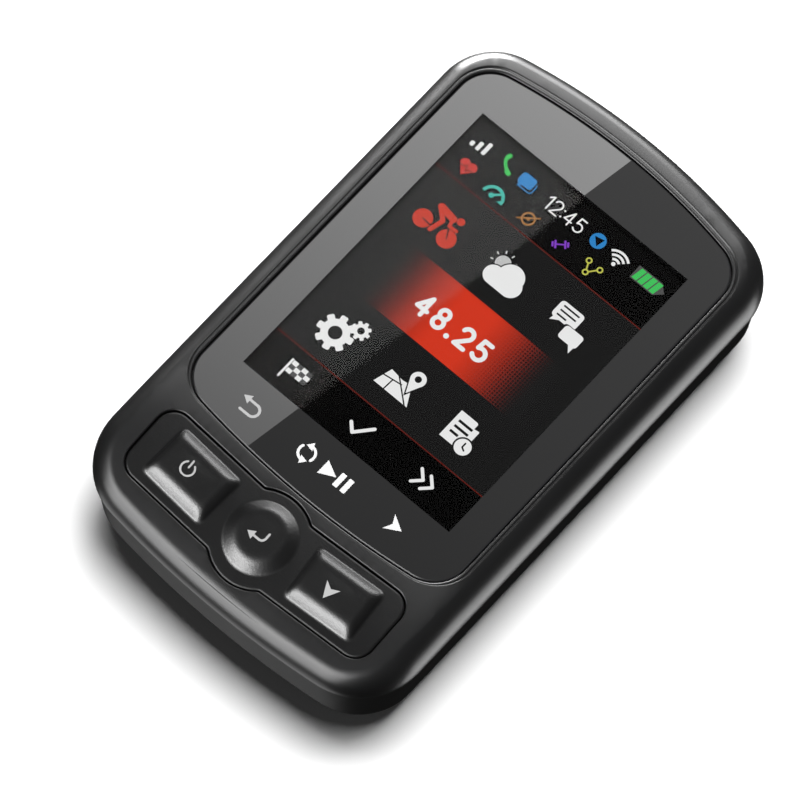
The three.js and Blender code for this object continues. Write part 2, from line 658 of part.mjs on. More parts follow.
// A flat strip across X, swept along a route that lies in the YZ plane.
function ribbon(route, width, thickness, steps) {
  const offset = (t, side) => {
    const tangent = route.getTangentAt(t);
    const across = new THREE.Vector3(0, -tangent.z, tangent.y);
    return route.getPointAt(t).add(across.setLength((side * thickness) / 2));
  };
  const along = Array.from({ length: steps + 1 }, (_, i) => i / steps);
  const edge = [...along.map((t) => offset(t, 1)), ...along.reverse().map((t) => offset(t, -1))];
  const shape = new THREE.Shape(edge.map((p) => new THREE.Vector2(p.y, p.z)));
  return new THREE.ExtrudeGeometry(shape, { depth: width, bevelEnabled: false })
    .applyMatrix4(new THREE.Matrix4().set(0, 0, 1, -width / 2, 1, 0, 0, 0, 0, 1, 0, 0, 0, 0, 0, 1));
}

function lcdConnector() {
  const top = BOARD_TOP_Z + GAP + CONNECTOR_HEIGHT;
  return block(FLEX_WIDTH + 1.6, CONNECTOR_LENGTH, BOARD_TOP_Z + GAP / 2, top, 0, CONNECTOR_Y);
}

// ---------------------------------------------------------------------------------------------
// Keypad
// ---------------------------------------------------------------------------------------------

// Each key's plan, shrunk by a slope in X and in Y, as a ring mirrored about its own Y axis.
const sideKeyPlan = (side) => (slopeX, slopeY) => {
  const corner = 0.9;
  const points = roundedBox(SIDE_KEY_WIDTH - 2 * slopeX, SIDE_KEY_HEIGHT - 2 * slopeY, corner).getPoints(3);
  const turned = points.slice(0, -1).map((p) => p.rotateAround(new THREE.Vector2(), side * SIDE_KEY_TURN));
  return turned.map((p) => p.add(new THREE.Vector2(side * SIDE_KEY_X, SIDE_KEY_Y)));
};
const roundKeyPlan = (slopeX) =>
  new THREE.Shape()
    .absarc(0, KEY_ROW_Y, ROUND_KEY_RADIUS - slopeX, 0, 2 * Math.PI)
    .getPoints(28)
    .slice(0, -1);

const SIDE_SLOPES = [SIDE_KEY_SLOPE_X, SIDE_KEY_SLOPE_Y];
const KEYS = [
  { name: "power", x: -SIDE_KEY_X, y: SIDE_KEY_Y, plan: sideKeyPlan(-1), slopes: SIDE_SLOPES },
  { name: "enter", x: 0, y: KEY_ROW_Y, plan: roundKeyPlan, slopes: [ROUND_KEY_SLOPE, ROUND_KEY_SLOPE] },
  { name: "down", x: SIDE_KEY_X, y: SIDE_KEY_Y, plan: sideKeyPlan(1), slopes: SIDE_SLOPES },
];
const PAD_LOWER = 0.15; // the pad lies this far below the front face
const padSurface = (p) => FACE_Z - faceDrop(p.y) - PAD_LOWER;

// A closed skin through rings of any plan, lowest first, with a fan over each end.
function capped(rings) {
  const count = rings[0].length;
  const faces = [];
  for (let r = 0; r + 1 < rings.length; r++) {
    for (let i = 0; i < count; i++) {
      const a = r * count + i;
      const b = r * count + ((i + 1) % count);
      faces.push(a, b, b + count, a, b + count, a + count);
    }
  }
  const centres = [rings[0], rings.at(-1)].map((points) =>
    points.reduce((sum, p) => sum.add(p), new THREE.Vector3()).divideScalar(count),
  );
  const top = (rings.length - 1) * count;
  const low = rings.length * count;
  for (let i = 0; i < count; i++) {
    const next = (i + 1) % count;
    faces.push(low, next, i, low + 1, top + i, top + next);
  }
  const geometry = new THREE.BufferGeometry().setFromPoints([...rings.flat(), ...centres]);
  geometry.setIndex(faces);
  geometry.computeVertexNormals();
  return geometry;
}

function key({ x, y, plan, slopes }) {
  const base = plan(0, 0);
  const cap = capped([
    level(base, KEY_BOTTOM_Z),
    level(base, padSurface),
    level(plan(...slopes), (p) => padSurface(p) + KEY_RISE),
  ]);
  return join(cap, drum(PLUNGER_RADIUS, PLUNGER_BOTTOM_Z, KEY_BOTTOM_Z + 0.5, x, y, 16));
}

function keypad() {
  const holes = KEYS.map(({ plan }) => prism(new THREE.Shape(plan(-KEY_GAP, -KEY_GAP)), 0, FACE_Z + 5));
  const blank = overlap(frontBlank(PAD_LOWER), padPrism(0, FLANGE_TOP_Z, FACE_Z + 1));
  const flange = overlap(
    padPrism(PAD_FLANGE, FLANGE_BOTTOM_Z, FLANGE_TOP_Z),
    prism(CASE.inset(FRONT_WALL + SIDE_GAP).shape(), 0, FACE_Z),
  );
  const root = overlap(
    padPrism(0, FLANGE_TOP_Z - 0.2, FLANGE_TOP_Z + 0.2),
    prism(CASE.inset(FRONT_WALL + SIDE_GAP).shape(), 0, FACE_Z),
  );
  return cut(join(blank, root, flange), ...holes);
}

function keypadRetainer() {
  const plate = prism(CASE.inset(FRONT_WALL + KEY_GAP).shape(), RETAINER_BOTTOM_Z, RETAINER_TOP_Z);
  const zone = block(BODY_WIDTH, 40, 0, FACE_Z, 0, RETAINER_TOP - 20);
  const plungers = KEYS.map(({ x, y }) => drum(PLUNGER_HOLE_RADIUS, 0, FACE_Z, x, y, 16));
  const stakes = [-1, 1].flatMap((side) =>
    STAKE_YS.map((y) => drum(STAKE_RADIUS + SIDE_GAP, 0, FACE_Z, side * STAKE_X, y, 10)),
  );
  return cut(overlap(plate, zone), ...plungers, ...stakes);
}

const switchBase = ({ x, y }) =>
  block(SWITCH_SIDE, SWITCH_SIDE, BOARD_TOP_Z + GAP / 2, SWITCH_TOP_Z, x, y);

// A sprung metal disc that snaps flat under the plunger.
function snapDome({ x, y }) {
  const flat = 0.1;
  const outer = [];
  const inner = [];
  const steps = 4;
  for (let i = 0; i <= steps; i++) {
    const a = ((Math.PI / 2) * i) / steps;
    const innerRadius = DOME_RADIUS - 2 * DOME_SKIN;
    outer.push(new THREE.Vector2(DOME_RADIUS * Math.cos(a), flat + (DOME_HEIGHT - flat) * Math.sin(a)));
    inner.push(new THREE.Vector2(innerRadius * Math.cos(a), (DOME_HEIGHT - DOME_SKIN) * Math.sin(a)));
  }
  outer.at(-1).x = 0;
  inner.at(-1).x = 0;
  const profile = [...inner.reverse(), new THREE.Vector2(DOME_RADIUS, 0), ...outer];
  return new THREE.LatheGeometry(profile, 16).rotateX(Math.PI / 2).translate(x, y, SWITCH_TOP_Z + GAP / 2);
}

// ---------------------------------------------------------------------------------------------
// Electronics
// ---------------------------------------------------------------------------------------------

function mainBoard() {
  const plate = prism(CASE.inset(BOARD_INSET).shape(), BOARD_BOTTOM_Z, BOARD_TOP_Z);
  const notches = SCREW_PLACES.map(([, x, y]) => drum(POST_CLEARANCE, 0, FACE_Z, x, y, 16));
  const holes = [-1, 1].map((side) =>
    drum(BOARD_SCREW.shank + 0.2, 0, FACE_Z, side * BOARD_SCREW_X, BOARD_SCREW_Y, 12),
  );
  return cut(plate, ...notches, ...holes);
}

const gpsAntenna = () => block(12, 3.6, BOARD_TOP_Z + GAP / 2, BOARD_TOP_Z + 2.6, 0, BOARD_SCREW_Y);

const underBoard = (width, length, height, x, y) =>
  block(width, length, UNDER_BOARD_Z - height, UNDER_BOARD_Z, x, y);

const SHIELD = { width: 16, length: 14, height: 1.5, x: -8.5, y: 16, skin: 0.25 };

function rfShield() {
  const { width, length, height, x, y, skin } = SHIELD;
  const ceiling = UNDER_BOARD_Z - height + skin;
  const inner = block(width - 2 * skin, length - 2 * skin, ceiling, UNDER_BOARD_Z + 1, x, y);
  return cut(underBoard(width, length, height, x, y), inner);
}

const buzzer = () =>
  cut(underBoard(8.5, 8.5, 1.8, 11, 16), drum(0.9, 0, UNDER_BOARD_Z - 1, 13.2, 18.2, 12));
const barometer = () =>
  cut(underBoard(3.4, 3.4, 1.1, VENT_X, VENT_Y), drum(0.5, 0, UNDER_BOARD_Z - 0.6, VENT_X, VENT_Y, 10));

function usbSocket() {
  const mouth = PORT_FLOOR_Z + SOCKET_MOUTH_GAP;
  const outer = prism(roundedBox(SOCKET_LENGTH, SOCKET_WIDTH, 1.5, 0, PORT_Y), mouth, UNDER_BOARD_Z, 5);
  const mouthPlan = roundedBox(SOCKET_LENGTH - 0.7, SOCKET_WIDTH - 0.7, 1.2, 0, PORT_Y);
  const bore = prism(mouthPlan, mouth - 1, mouth + 5, 5);
  const tongue = block(6.6, 0.7, mouth + 0.6, mouth + 5.5, 0, PORT_Y);
  return join(cut(outer, bore), tongue);
}

function portGasket() {
  const low = PORT_FLOOR_Z + GAP / 2;
  const outer = prism(roundedBox(SOCKET_LENGTH + 2.6, SOCKET_WIDTH + 2.6, 2.4, 0, PORT_Y), low, low + 1.2, 5);
  const innerPlan = roundedBox(SOCKET_LENGTH + 0.3, SOCKET_WIDTH + 0.3, 1.6, 0, PORT_Y);
  const inner = prism(innerPlan, low - 1, low + 2, 5);
  return cut(outer, inner);
}

// ---------------------------------------------------------------------------------------------
// Power
// ---------------------------------------------------------------------------------------------

const battery = () =>
  prism(
    roundedBox(BATTERY_WIDTH, BATTERY_LENGTH, 1.4, 0, BATTERY_Y),
    BATTERY_BOTTOM_Z,
    BATTERY_BOTTOM_Z + BATTERY_THICKNESS,
    3,
  );
const batteryFoam = () =>
  prism(
    roundedBox(BATTERY_WIDTH - 4, BATTERY_LENGTH - 4, 1, 0, BATTERY_Y),
    FOAM_BOTTOM_Z,
    FOAM_BOTTOM_Z + FOAM_THICKNESS,
    2,
  );

const POWER_PLUG = { width: 4.4, length: 2.6, height: 1.3 };
const POWER_SOCKET = { width: 5.2, length: 3.6, height: 1.6 };
const POWER_PLUG_Y = BATTERY_END_Y - 3.8;
const POWER_SOCKET_Y = POWER_PLUG_Y - (POWER_PLUG.length + POWER_SOCKET.length) / 2 - GAP;
const WIRE_END_Z = UNDER_BOARD_Z - 0.15 - POWER_PLUG.height / 2;

const batteryPlug = () => {
  const { width, length, height } = POWER_PLUG;
  return block(width, length, UNDER_BOARD_Z - 0.15 - height, UNDER_BOARD_Z - 0.15, WIRE_X, POWER_PLUG_Y);
};
const batterySocket = () =>
  underBoard(POWER_SOCKET.width, POWER_SOCKET.length, POWER_SOCKET.height, WIRE_X, POWER_SOCKET_Y);

// Each lead runs from the battery's end, up, and into the plug.
function batteryWire(side) {
  const x = WIRE_X + (side * WIRE_SPACING) / 2;
  const startZ = BATTERY_BOTTOM_Z + BATTERY_THICKNESS / 2;
  const plugY = POWER_PLUG_Y + POWER_PLUG.length / 2;
  const route = new THREE.CatmullRomCurve3(
    [
      [BATTERY_END_Y - 0.15, startZ],
      [BATTERY_END_Y - 0.7, startZ + 0.1],
      [BATTERY_END_Y - 1.15, startZ + 1],
      [BATTERY_END_Y - 1.3, (startZ + WIRE_END_Z) / 2 + 0.4],
      [BATTERY_END_Y - 1.6, WIRE_END_Z - 0.4],
      [plugY + 0.45, WIRE_END_Z - 0.03],
      [plugY + 0.1, WIRE_END_Z],
    ].map(([y, z]) => new THREE.Vector3(x, y, z)),
  );
  const section = new THREE.Shape().absarc(0, 0, WIRE_RADIUS, 0, 2 * Math.PI);
  const sweep = { extrudePath: route, steps: 14, curveSegments: 6, bevelEnabled: false };
  return new THREE.ExtrudeGeometry(section, sweep);
}

// ---------------------------------------------------------------------------------------------
// Port cover
// ---------------------------------------------------------------------------------------------

const anchorX = () => HINGE_X - HINGE_GAP - ANCHOR_LENGTH / 2;
const anchorStem = () => 0.9;

function portCover() {
  const low = HINGE_X + HINGE_GAP;
  const flap = prism(
    roundedBox(FLAP_LENGTH, FLAP_WIDTH, 1.6, low + FLAP_LENGTH / 2, PORT_Y),
    FLAP_BOTTOM_Z,
    FLAP_TOP_Z,
    5,
  );
  const plug = prism(
    roundedBox(PLUG_LENGTH, PLUG_WIDTH, 1.3, 0, PORT_Y),
    FLAP_TOP_Z - 0.3,
    PORT_FLOOR_Z - GAP,
    5,
  );
  return join(flap, plug);
}

function portCoverAnchor() {
  const barb = 1.35;
  const tab = prism(
    roundedBox(ANCHOR_LENGTH, FLAP_WIDTH - 1, 1, anchorX(), PORT_Y),
    FLAP_BOTTOM_Z,
    FLAP_TOP_Z,
    4,
  );
  const stem = drum(anchorStem(), FLAP_TOP_Z - 0.3, PORT_FLOOR_Z + 1.2, anchorX(), PORT_Y, 16);
  const head = new THREE.CylinderGeometry(barb / 2, barb, 0.8, 16)
    .rotateX(Math.PI / 2)
    .translate(anchorX(), PORT_Y, PORT_FLOOR_Z + GAP + 0.4);
  return join(tab, stem, head);
}

// ---------------------------------------------------------------------------------------------
// Assembly
// ---------------------------------------------------------------------------------------------

const computer = new THREE.Group();

function add(name, geometry, material) {
  const mesh = new THREE.Mesh(geometry, material);
  mesh.name = name;
  computer.add(mesh);
}

add("front_shell", frontShell(), MATERIALS.shell);
add("rear_shell", rearShell(), MATERIALS.shell);
add("case_seal", caseSeal(), MATERIALS.soft);
add("lens", lens(), MATERIALS.glass);
add("lens_tape", lensTape(), MATERIALS.soft);
add("lcd_frame", lcdFrame(), MATERIALS.plastic);
add("lcd_light_guide", lightGuide(), MATERIALS.plastic);
add("lcd_cell", lcdCell(), MATERIALS.screen);
add("lcd_flex", lcdFlex(), MATERIALS.flex);
add("lcd_connector", lcdConnector(), MATERIALS.plastic);
add("keypad", keypad(), MATERIALS.rubber);
add("keypad_retainer", keypadRetainer(), MATERIALS.shell);
for (const place of KEYS) {
  add(`${place.name}_key`, key(place), MATERIALS.rubber);
  add(`${place.name}_switch_base`, switchBase(place), MATERIALS.chip);
  add(`${place.name}_snap_dome`, snapDome(place), MATERIALS.steel);
}
add("main_board", mainBoard(), MATERIALS.board);
add("gps_antenna", gpsAntenna(), MATERIALS.ceramic);
add("rf_shield", rfShield(), MATERIALS.tin);
add("processor", underBoard(8, 8, 0.9, SHIELD.x - 2, SHIELD.y), MATERIALS.chip);
add("memory_chip", underBoard(7, 6, 0.9, -8.5, 2), MATERIALS.chip);
add("buzzer", buzzer(), MATERIALS.chip);
add("barometer", barometer(), MATERIALS.tin);
add("vent_membrane", drum(2.4, FLOOR_Z + GAP / 2, FLOOR_Z + 0.3, VENT_X, VENT_Y, 20), MATERIALS.plastic);
add("usb_socket", usbSocket(), MATERIALS.tin);
add("port_gasket", portGasket(), MATERIALS.soft);
add("port_cover", portCover(), MATERIALS.rubber);
add("port_cover_anchor", portCoverAnchor(), MATERIALS.rubber);
add("battery", battery(), MATERIALS.pouch);
add("battery_foam", batteryFoam(), MATERIALS.soft);
add("battery_wire_red", batteryWire(1), MATERIALS.redWire);
add("battery_wire_black", batteryWire(-1), MATERIALS.blackWire);
add("battery_plug", batteryPlug(), MATERIALS.plastic);
add("battery_socket", batterySocket(), MATERIALS.plastic);
for (const [place, x, y] of SCREW_PLACES) {
  add(`case_screw_${place}`, screw(CASE_SCREW, x, y, SCREW_SEAT_Z), MATERIALS.steel);
}
for (const [side, x] of [["left", -BOARD_SCREW_X], ["right", BOARD_SCREW_X]]) {
  add(`board_screw_${side}`, screw(BOARD_SCREW, x, BOARD_SCREW_Y, BOARD_BOTTOM_Z - GAP / 2), MATERIALS.steel);
}

export default computer;
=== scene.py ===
"""Looks for a bicycle GPS computer: case, cover glass, screen, rubber keys, mount and port cover.

Every piece is built in millimetres in the case's own frame, +Z up through the screen and +Y
towards the top of the screen, and is turned into metres when its mesh is made.
"""

import math

import bmesh
import bpy
from mathutils import Matrix, Vector, geometry


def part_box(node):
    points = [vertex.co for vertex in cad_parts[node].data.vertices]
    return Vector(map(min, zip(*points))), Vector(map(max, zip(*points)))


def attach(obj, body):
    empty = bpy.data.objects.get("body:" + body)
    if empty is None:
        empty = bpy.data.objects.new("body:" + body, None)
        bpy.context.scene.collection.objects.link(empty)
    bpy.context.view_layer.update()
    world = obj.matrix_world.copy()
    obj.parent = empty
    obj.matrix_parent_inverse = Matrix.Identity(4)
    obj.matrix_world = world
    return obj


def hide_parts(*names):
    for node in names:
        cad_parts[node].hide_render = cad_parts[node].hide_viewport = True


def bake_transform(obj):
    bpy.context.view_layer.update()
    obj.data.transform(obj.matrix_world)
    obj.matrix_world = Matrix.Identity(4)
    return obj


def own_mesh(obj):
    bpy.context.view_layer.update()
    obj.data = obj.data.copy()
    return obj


bl_info = {
    "name": "Bicycle Computer",
    "version": (1, 0, 0),
    "blender": (4, 5, 0),
    "location": "View3D > Sidebar > Bicycle Computer",
    "description": "Builds the pieces of a bicycle computer and the stage it stands on",
    "category": "Object",
}

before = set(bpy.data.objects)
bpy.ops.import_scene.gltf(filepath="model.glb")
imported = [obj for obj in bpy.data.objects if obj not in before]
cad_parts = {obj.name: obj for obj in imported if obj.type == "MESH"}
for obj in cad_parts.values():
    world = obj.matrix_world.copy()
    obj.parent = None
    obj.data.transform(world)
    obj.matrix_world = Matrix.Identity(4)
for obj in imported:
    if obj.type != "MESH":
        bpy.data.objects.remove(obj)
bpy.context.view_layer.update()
MM = 0.001


def box_mm(node):
    """A CAD node's lowest and highest corners, in millimetres."""
    low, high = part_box(node)
    return low / MM, high / MM


def middle(node):
    low, high = box_mm(node)
    return (low + high) / 2


FRONT_LOW, FRONT_HIGH = box_mm("front_shell")
REAR_LOW, REAR_HIGH = box_mm("rear_shell")
LENS_LOW, LENS_HIGH = box_mm("lens")
PAD_LOW, PAD_HIGH = box_mm("keypad")
CELL_LOW, CELL_HIGH = box_mm("lcd_cell")
FACE_Z = FRONT_HIGH.z
PARTING_Z = REAR_HIGH.z + 0.05
KEY_ROW_Y = middle("enter_key").y
DROOP_START = KEY_ROW_Y + 8.25


# ---------------------------------------------------------------------------------------------
# Settings
# ---------------------------------------------------------------------------------------------


def length(name, text, millimetres):
    return bpy.props.FloatProperty(
        name=name, description=text, default=millimetres * MM, unit="LENGTH", precision=5
    )


def turn_of(name, text, degrees):
    return bpy.props.FloatProperty(
        name=name, description=text, default=math.radians(degrees), subtype="ANGLE"
    )


def colour(name, text, value):
    return bpy.props.FloatVectorProperty(
        name=name, description=text, default=value, size=3, subtype="COLOR", min=0, max=1
    )


def amount(name, text, value, low=0.0, high=1.0):
    return bpy.props.FloatProperty(
        name=name, description=text, default=value, min=low, max=high, subtype="FACTOR"
    )


class CaseSettings(bpy.types.PropertyGroup):
    width: length("Width", "Width of the case at the parting line", FRONT_HIGH.x - FRONT_LOW.x)
    length: length("Length", "Length of the case", FRONT_HIGH.y - FRONT_LOW.y)
    top_arc: length("Top arc", "Radius of the arc across the top end", 92)
    bottom_arc: length("Bottom arc", "Radius of the arc across the key end", 140)
    top_corner: length("Top corner", "Corner radius at the top end", 8.5)
    bottom_corner: length("Bottom corner", "Corner radius at the key end", 9.5)
    shoulder: length("Shoulder", "How far the rounded shoulder reaches in over the face", 3.3)
    end_shoulder: length("End shoulder", "The same at the key end", 2.4)
    droop_radius: length("Droop radius", "Radius of the face's curve at the key end", 55)
    back_fillet: length("Back fillet", "Radius around the back face", 3.8)
    plastic: colour("Plastic", "Colour of the moulded shells", (0.0065, 0.0065, 0.0068))
    gloss: amount("Roughness", "Roughness of the shells", 0.33)


class GlassSettings(bpy.types.PropertyGroup):
    chamfer: length("Chamfer", "Width of the ground edge of the cover glass", 0.2)
    window_width: length("Window width", "Width of the clear window", 33.84)
    window_length: length("Window length", "Length of the clear window", 45.12)
    border: colour("Border", "Colour of the printed border", (0.0055, 0.0055, 0.0057))
    print_colour: colour("Print", "Colour of the symbols printed on the glass", (0.6, 0.6, 0.6))


class KeySettings(bpy.types.PropertyGroup):
    width: length("Width", "Width of a side key at its foot", 10.0)
    height: length("Height", "Height of a side key at its foot", 7.3)
    radius: length("Radius", "Radius of the round key at its foot", 4.6)
    rise: length("Rise", "How far a key stands above the pad", 1.15)
    turn: turn_of("Turn", "How far the side keys are turned", 4)
    rubber: colour("Rubber", "Colour of the keypad", (0.0045, 0.0045, 0.0047))
    symbol: colour("Symbols", "Colour of the symbols on the keys", (0.36, 0.36, 0.36))


class ScreenSettings(bpy.types.PropertyGroup):
    brightness: amount("Brightness", "Brightness of the lit screen", 1.0, 0.0, 4.0)
    ground: colour("Ground", "Colour behind the icons", (0.0088, 0.0088, 0.0088))
    band: colour("Band", "Colour of the band across the middle", (0.62, 0.035, 0.012))
    rider: colour("Rider", "Colour of the rider icon", (0.62, 0.045, 0.022))


class StageSettings(bpy.types.PropertyGroup):
    azimuth: turn_of("Azimuth", "Camera's turn to the right of the case's own axis", 36.89)
    elevation: turn_of("Elevation", "Camera's height above the horizon", 67.5)
    roll: turn_of("Roll", "Camera's roll", 4.59)
    distance: length("Distance", "Camera to the middle of the screen", 982)
    lens: bpy.props.FloatProperty(
        name="Lens", description="Focal length on a 36 mm sensor", default=356.3, min=1
    )
    floor: colour("Floor", "Colour of the floor", (0.9, 0.9, 0.9))


class ComputerSettings(bpy.types.PropertyGroup):
    case: bpy.props.PointerProperty(type=CaseSettings)
    glass: bpy.props.PointerProperty(type=GlassSettings)
    keys: bpy.props.PointerProperty(type=KeySettings)
    screen: bpy.props.PointerProperty(type=ScreenSettings)
    stage: bpy.props.PointerProperty(type=StageSettings)


def settings():
    return bpy.context.scene.bicycle_computer


# ---------------------------------------------------------------------------------------------
# Plans
# ---------------------------------------------------------------------------------------------


def between(start, end, steps):
    """The points that divide a line into equal steps, without its ends."""
    (ax, ay), (bx, by) = start, end
    return [(ax + (bx - ax) * (i / steps), ay + (by - ay) * (i / steps)) for i in range(1, steps)]


def mirrored(right):
    """A closed ring from its right half, which begins and ends on the Y axis."""
    return right + [(-x, y) for x, y in reversed(right[1:-1])]


class Outline:
    """Straight sides, a shallow arc across each end and rounded corners."""

    def __init__(self, half_width, top, bottom, top_arc, bottom_arc, top_corner, bottom_corner):
        self.half_width, self.top, self.bottom = half_width, top, bottom
        self.top_arc, self.bottom_arc = top_arc, bottom_arc
        self.top_corner, self.bottom_corner = top_corner, bottom_corner

    def inset(self, d, bottom=None):
        """The outline moved in by d all round, or by its own amount at the bottom end."""
        return Outline(
            self.half_width - d,
            self.top - d,
            self.bottom + (d if bottom is None else bottom),
            self.top_arc - d,
            self.bottom_arc - d,
            self.top_corner - d,
            self.bottom_corner - d,
        )

    def corner_place(self, arc, corner):
        """How far out and how far in from the end a corner's centre is, and where its arc begins."""
        reach = self.half_width - corner
        return reach, arc - math.sqrt((arc - corner) ** 2 - reach**2), math.asin(reach / (arc - corner))

    def depth(self, x, y):
        """How far a point is inside the outline, or below zero outside it."""
        x = abs(x)
        ends = (
            (1, self.top, self.top_arc, self.top_corner),
            (-1, self.bottom, self.bottom_arc, self.bottom_corner),
        )
        depths = [self.half_width - x]
        for side, end, arc, corner in ends:
            reach, drop, turn = self.corner_place(arc, corner)
            dx, dy = x - reach, side * (y - end) + drop
            if dy > 0 and dx * math.cos(turn) > dy * math.sin(turn):
                return corner - math.hypot(dx, dy)
            depths.append(arc - math.hypot(x, y - end + side * arc))
        return min(depths)

    def half_end(self, arc, corner, arc_steps, corner_steps):
        reach, drop, turn = self.corner_place(arc, corner)
        points = []
        for i in range(arc_steps + 1):
            a = turn * i / arc_steps
            points.append((arc * math.sin(a), arc * (1 - math.cos(a))))
        for i in range(1, corner_steps + 1):
            a = turn + (math.pi / 2 - turn) * i / corner_steps
            points.append((reach + corner * math.sin(a), drop - corner * math.cos(a)))
        return points

    def points(self, arc_steps=14, corner_steps=16, side_steps=36):
        """Counter-clockwise from the middle of the bottom end, mirrored about the Y axis."""
        low = self.half_end(self.bottom_arc, self.bottom_corner, arc_steps, corner_steps)
        high = self.half_end(self.top_arc, self.top_corner, arc_steps, corner_steps)
        right = [(x, self.bottom + d) for x, d in low]
        right += between(right[-1], (high[-1][0], self.top - high[-1][1]), side_steps)
        right += [(x, self.top - d) for x, d in reversed(high)]
        return mirrored(right)


def arc(x, y, radius, start, end, steps):
    """Points on an arc, in degrees."""
    angles = (math.radians(start + (end - start) * i / steps) for i in range(steps + 1))
    return [(x + radius * math.cos(a), y + radius * math.sin(a)) for a in angles]


def circle(x, y, radius, steps=48):
    return arc(x, y, radius, 0, 360, steps)[:-1]


def rounded_box(width, height, corner, x=0.0, y=0.0, steps=5, side=4, turn=0.0):
    """Counter-clockwise from the right side's lower end, with points along the sides too."""
    w, h = width / 2 - corner, height / 2 - corner
    corners = [(w, h, 0), (-w, h, 90), (-w, -h, 180), (w, -h, 270)]
    ring = []
    for i, (cx, cy, a) in enumerate(corners):
        ring += arc(cx, cy, corner, a, a + 90, steps)
        nx, ny, na = corners[(i + 1) % 4]
        ring += between(ring[-1], arc(nx, ny, corner, na, na + 90, steps)[0], side)
    c, s = math.cos(turn), math.sin(turn)
    return [(x + px * c - py * s, y + px * s + py * c) for px, py in ring]


RIM_CORNER = 6  # corner radius at the key end, where the shoulder meets the face
LENS_TOP_ARC, LENS_BOTTOM_ARC, LENS_CORNER = 90, 125, 5


def case_outline():
    c = settings().case
    half = c.length / MM / 2
    radii = [r / MM for r in (c.top_arc, c.bottom_arc, c.top_corner, c.bottom_corner)]
    return Outline(c.width / MM / 2, half, -half, *radii)


def rim_outline():
    c = settings().case
    side, end = c.shoulder / MM, c.end_shoulder / MM
    case = case_outline()
    return Outline(
        case.half_width - side,
        case.top - side,
        case.bottom + end,
        case.top_arc - side,
        case.bottom_arc - end,
        case.top_corner - side,
        RIM_CORNER,
    )


def lens_outline():
    arcs = LENS_TOP_ARC, LENS_BOTTOM_ARC
    return Outline(LENS_HIGH.x, LENS_HIGH.y, LENS_LOW.y, *arcs, LENS_CORNER, LENS_CORNER)


PAD_BOW, BUMP_RADIUS, BUMP_FILLET = 0.95, 6.4, 1.1
PAD_END = PAD_HIGH.x - 0.9
PAD_TOP_END = KEY_ROW_Y + 5.75
PAD_HEIGHT = 10.1
PAD_CORNER = 2.5
BUMP_Y = KEY_ROW_Y - 0.2


def pad_outline(grow=0.0):
    """The keypad: a bowed band with a round bump in its middle, blended by small fillets."""
    end, corner = PAD_END + grow, PAD_CORNER + grow
    radius, fillet = BUMP_RADIUS + grow, BUMP_FILLET - grow
    slope = PAD_BOW / (PAD_END - PAD_CORNER)
    stretch = math.hypot(1, slope)

    def half_edge(base, side):
        """From the bump's crown to the end's corner; side is 1 for the upper edge."""
        far = base + side * fillet * stretch
        # where a circle of the fillet's radius touches both the bump and the edge
        a, b = stretch**2, 2 * slope * (far - BUMP_Y)
        c = (far - BUMP_Y) ** 2 - (radius + fillet) ** 2
        fx = (-b + math.sqrt(b * b - 4 * a * c)) / (2 * a)
        fy = far + slope * fx
        toward = math.degrees(math.atan2(fy - BUMP_Y, fx))
        touch = arc(0, BUMP_Y, radius, 90 * side, toward, 14)
        normal = math.degrees(math.atan2(-side, side * slope))
        back = toward + 180 * (1 if side > 0 else -1)
        turn = (normal - back + 180) % 360 - 180
        touch += arc(fx, fy, fillet, back, back + turn, 6)[1:]
        corner_x = end - corner
        corner_y = base + slope * corner_x - side * corner * stretch
        start = math.degrees(math.atan2(side, -side * slope))
        bend = arc(corner_x, corner_y, corner, start, 0, 8)
        return touch + between(touch[-1], bend[0], 26) + bend

    upper = half_edge(PAD_TOP_END - PAD_BOW + grow * stretch, 1)
    lower = half_edge(PAD_TOP_END - PAD_HEIGHT - PAD_BOW - grow * stretch, -1)
    side = between((end, lower[-1][1]), (end, upper[-1][1]), 12)
    return mirrored(lower + side + upper[::-1])


def drop(y):
    """How far the face has curved down at y."""
    past = max(0.0, DROOP_START - y)
    return past**2 / (2 * settings().case.droop_radius / MM)


def shell_height(x, y):
    """Height of the front shell's face, and of the shoulder where the point is out on it."""
    out = -rim_outline().depth(x, y)
    top = FACE_Z - drop(y)
    if out <= 0:
        return top
    share = min(1.0, out / (out + max(case_outline().depth(x, y), 0.0)))
    return top - (top - PARTING_Z) * (1 - math.sqrt(1 - share**2))


PAD_LOWER = 0.15  # how far the pad lies below the face


def pad_height(x, y):
    return FACE_Z - drop(y) - PAD_LOWER


# ---------------------------------------------------------------------------------------------
# Skins
# ---------------------------------------------------------------------------------------------


def smooth(t):
    """Rises from 0 to 1 without a corner at either end."""
    t = min(1.0, max(0.0, t))
    return t * t * (3 - 2 * t)


def inside(point, loop):
    x, y = point
    odd = False
    px, py = loop[-1]
    for qx, qy in loop:
        if (qy > y) != (py > y) and x < (px - qx) * (y - qy) / (py - qy) + qx:
            odd = not odd
        px, py = qx, qy
    return odd


def distance_to(point, loop):
    x, y = point
    return min(math.hypot(px - x, py - y) for px, py in loop)


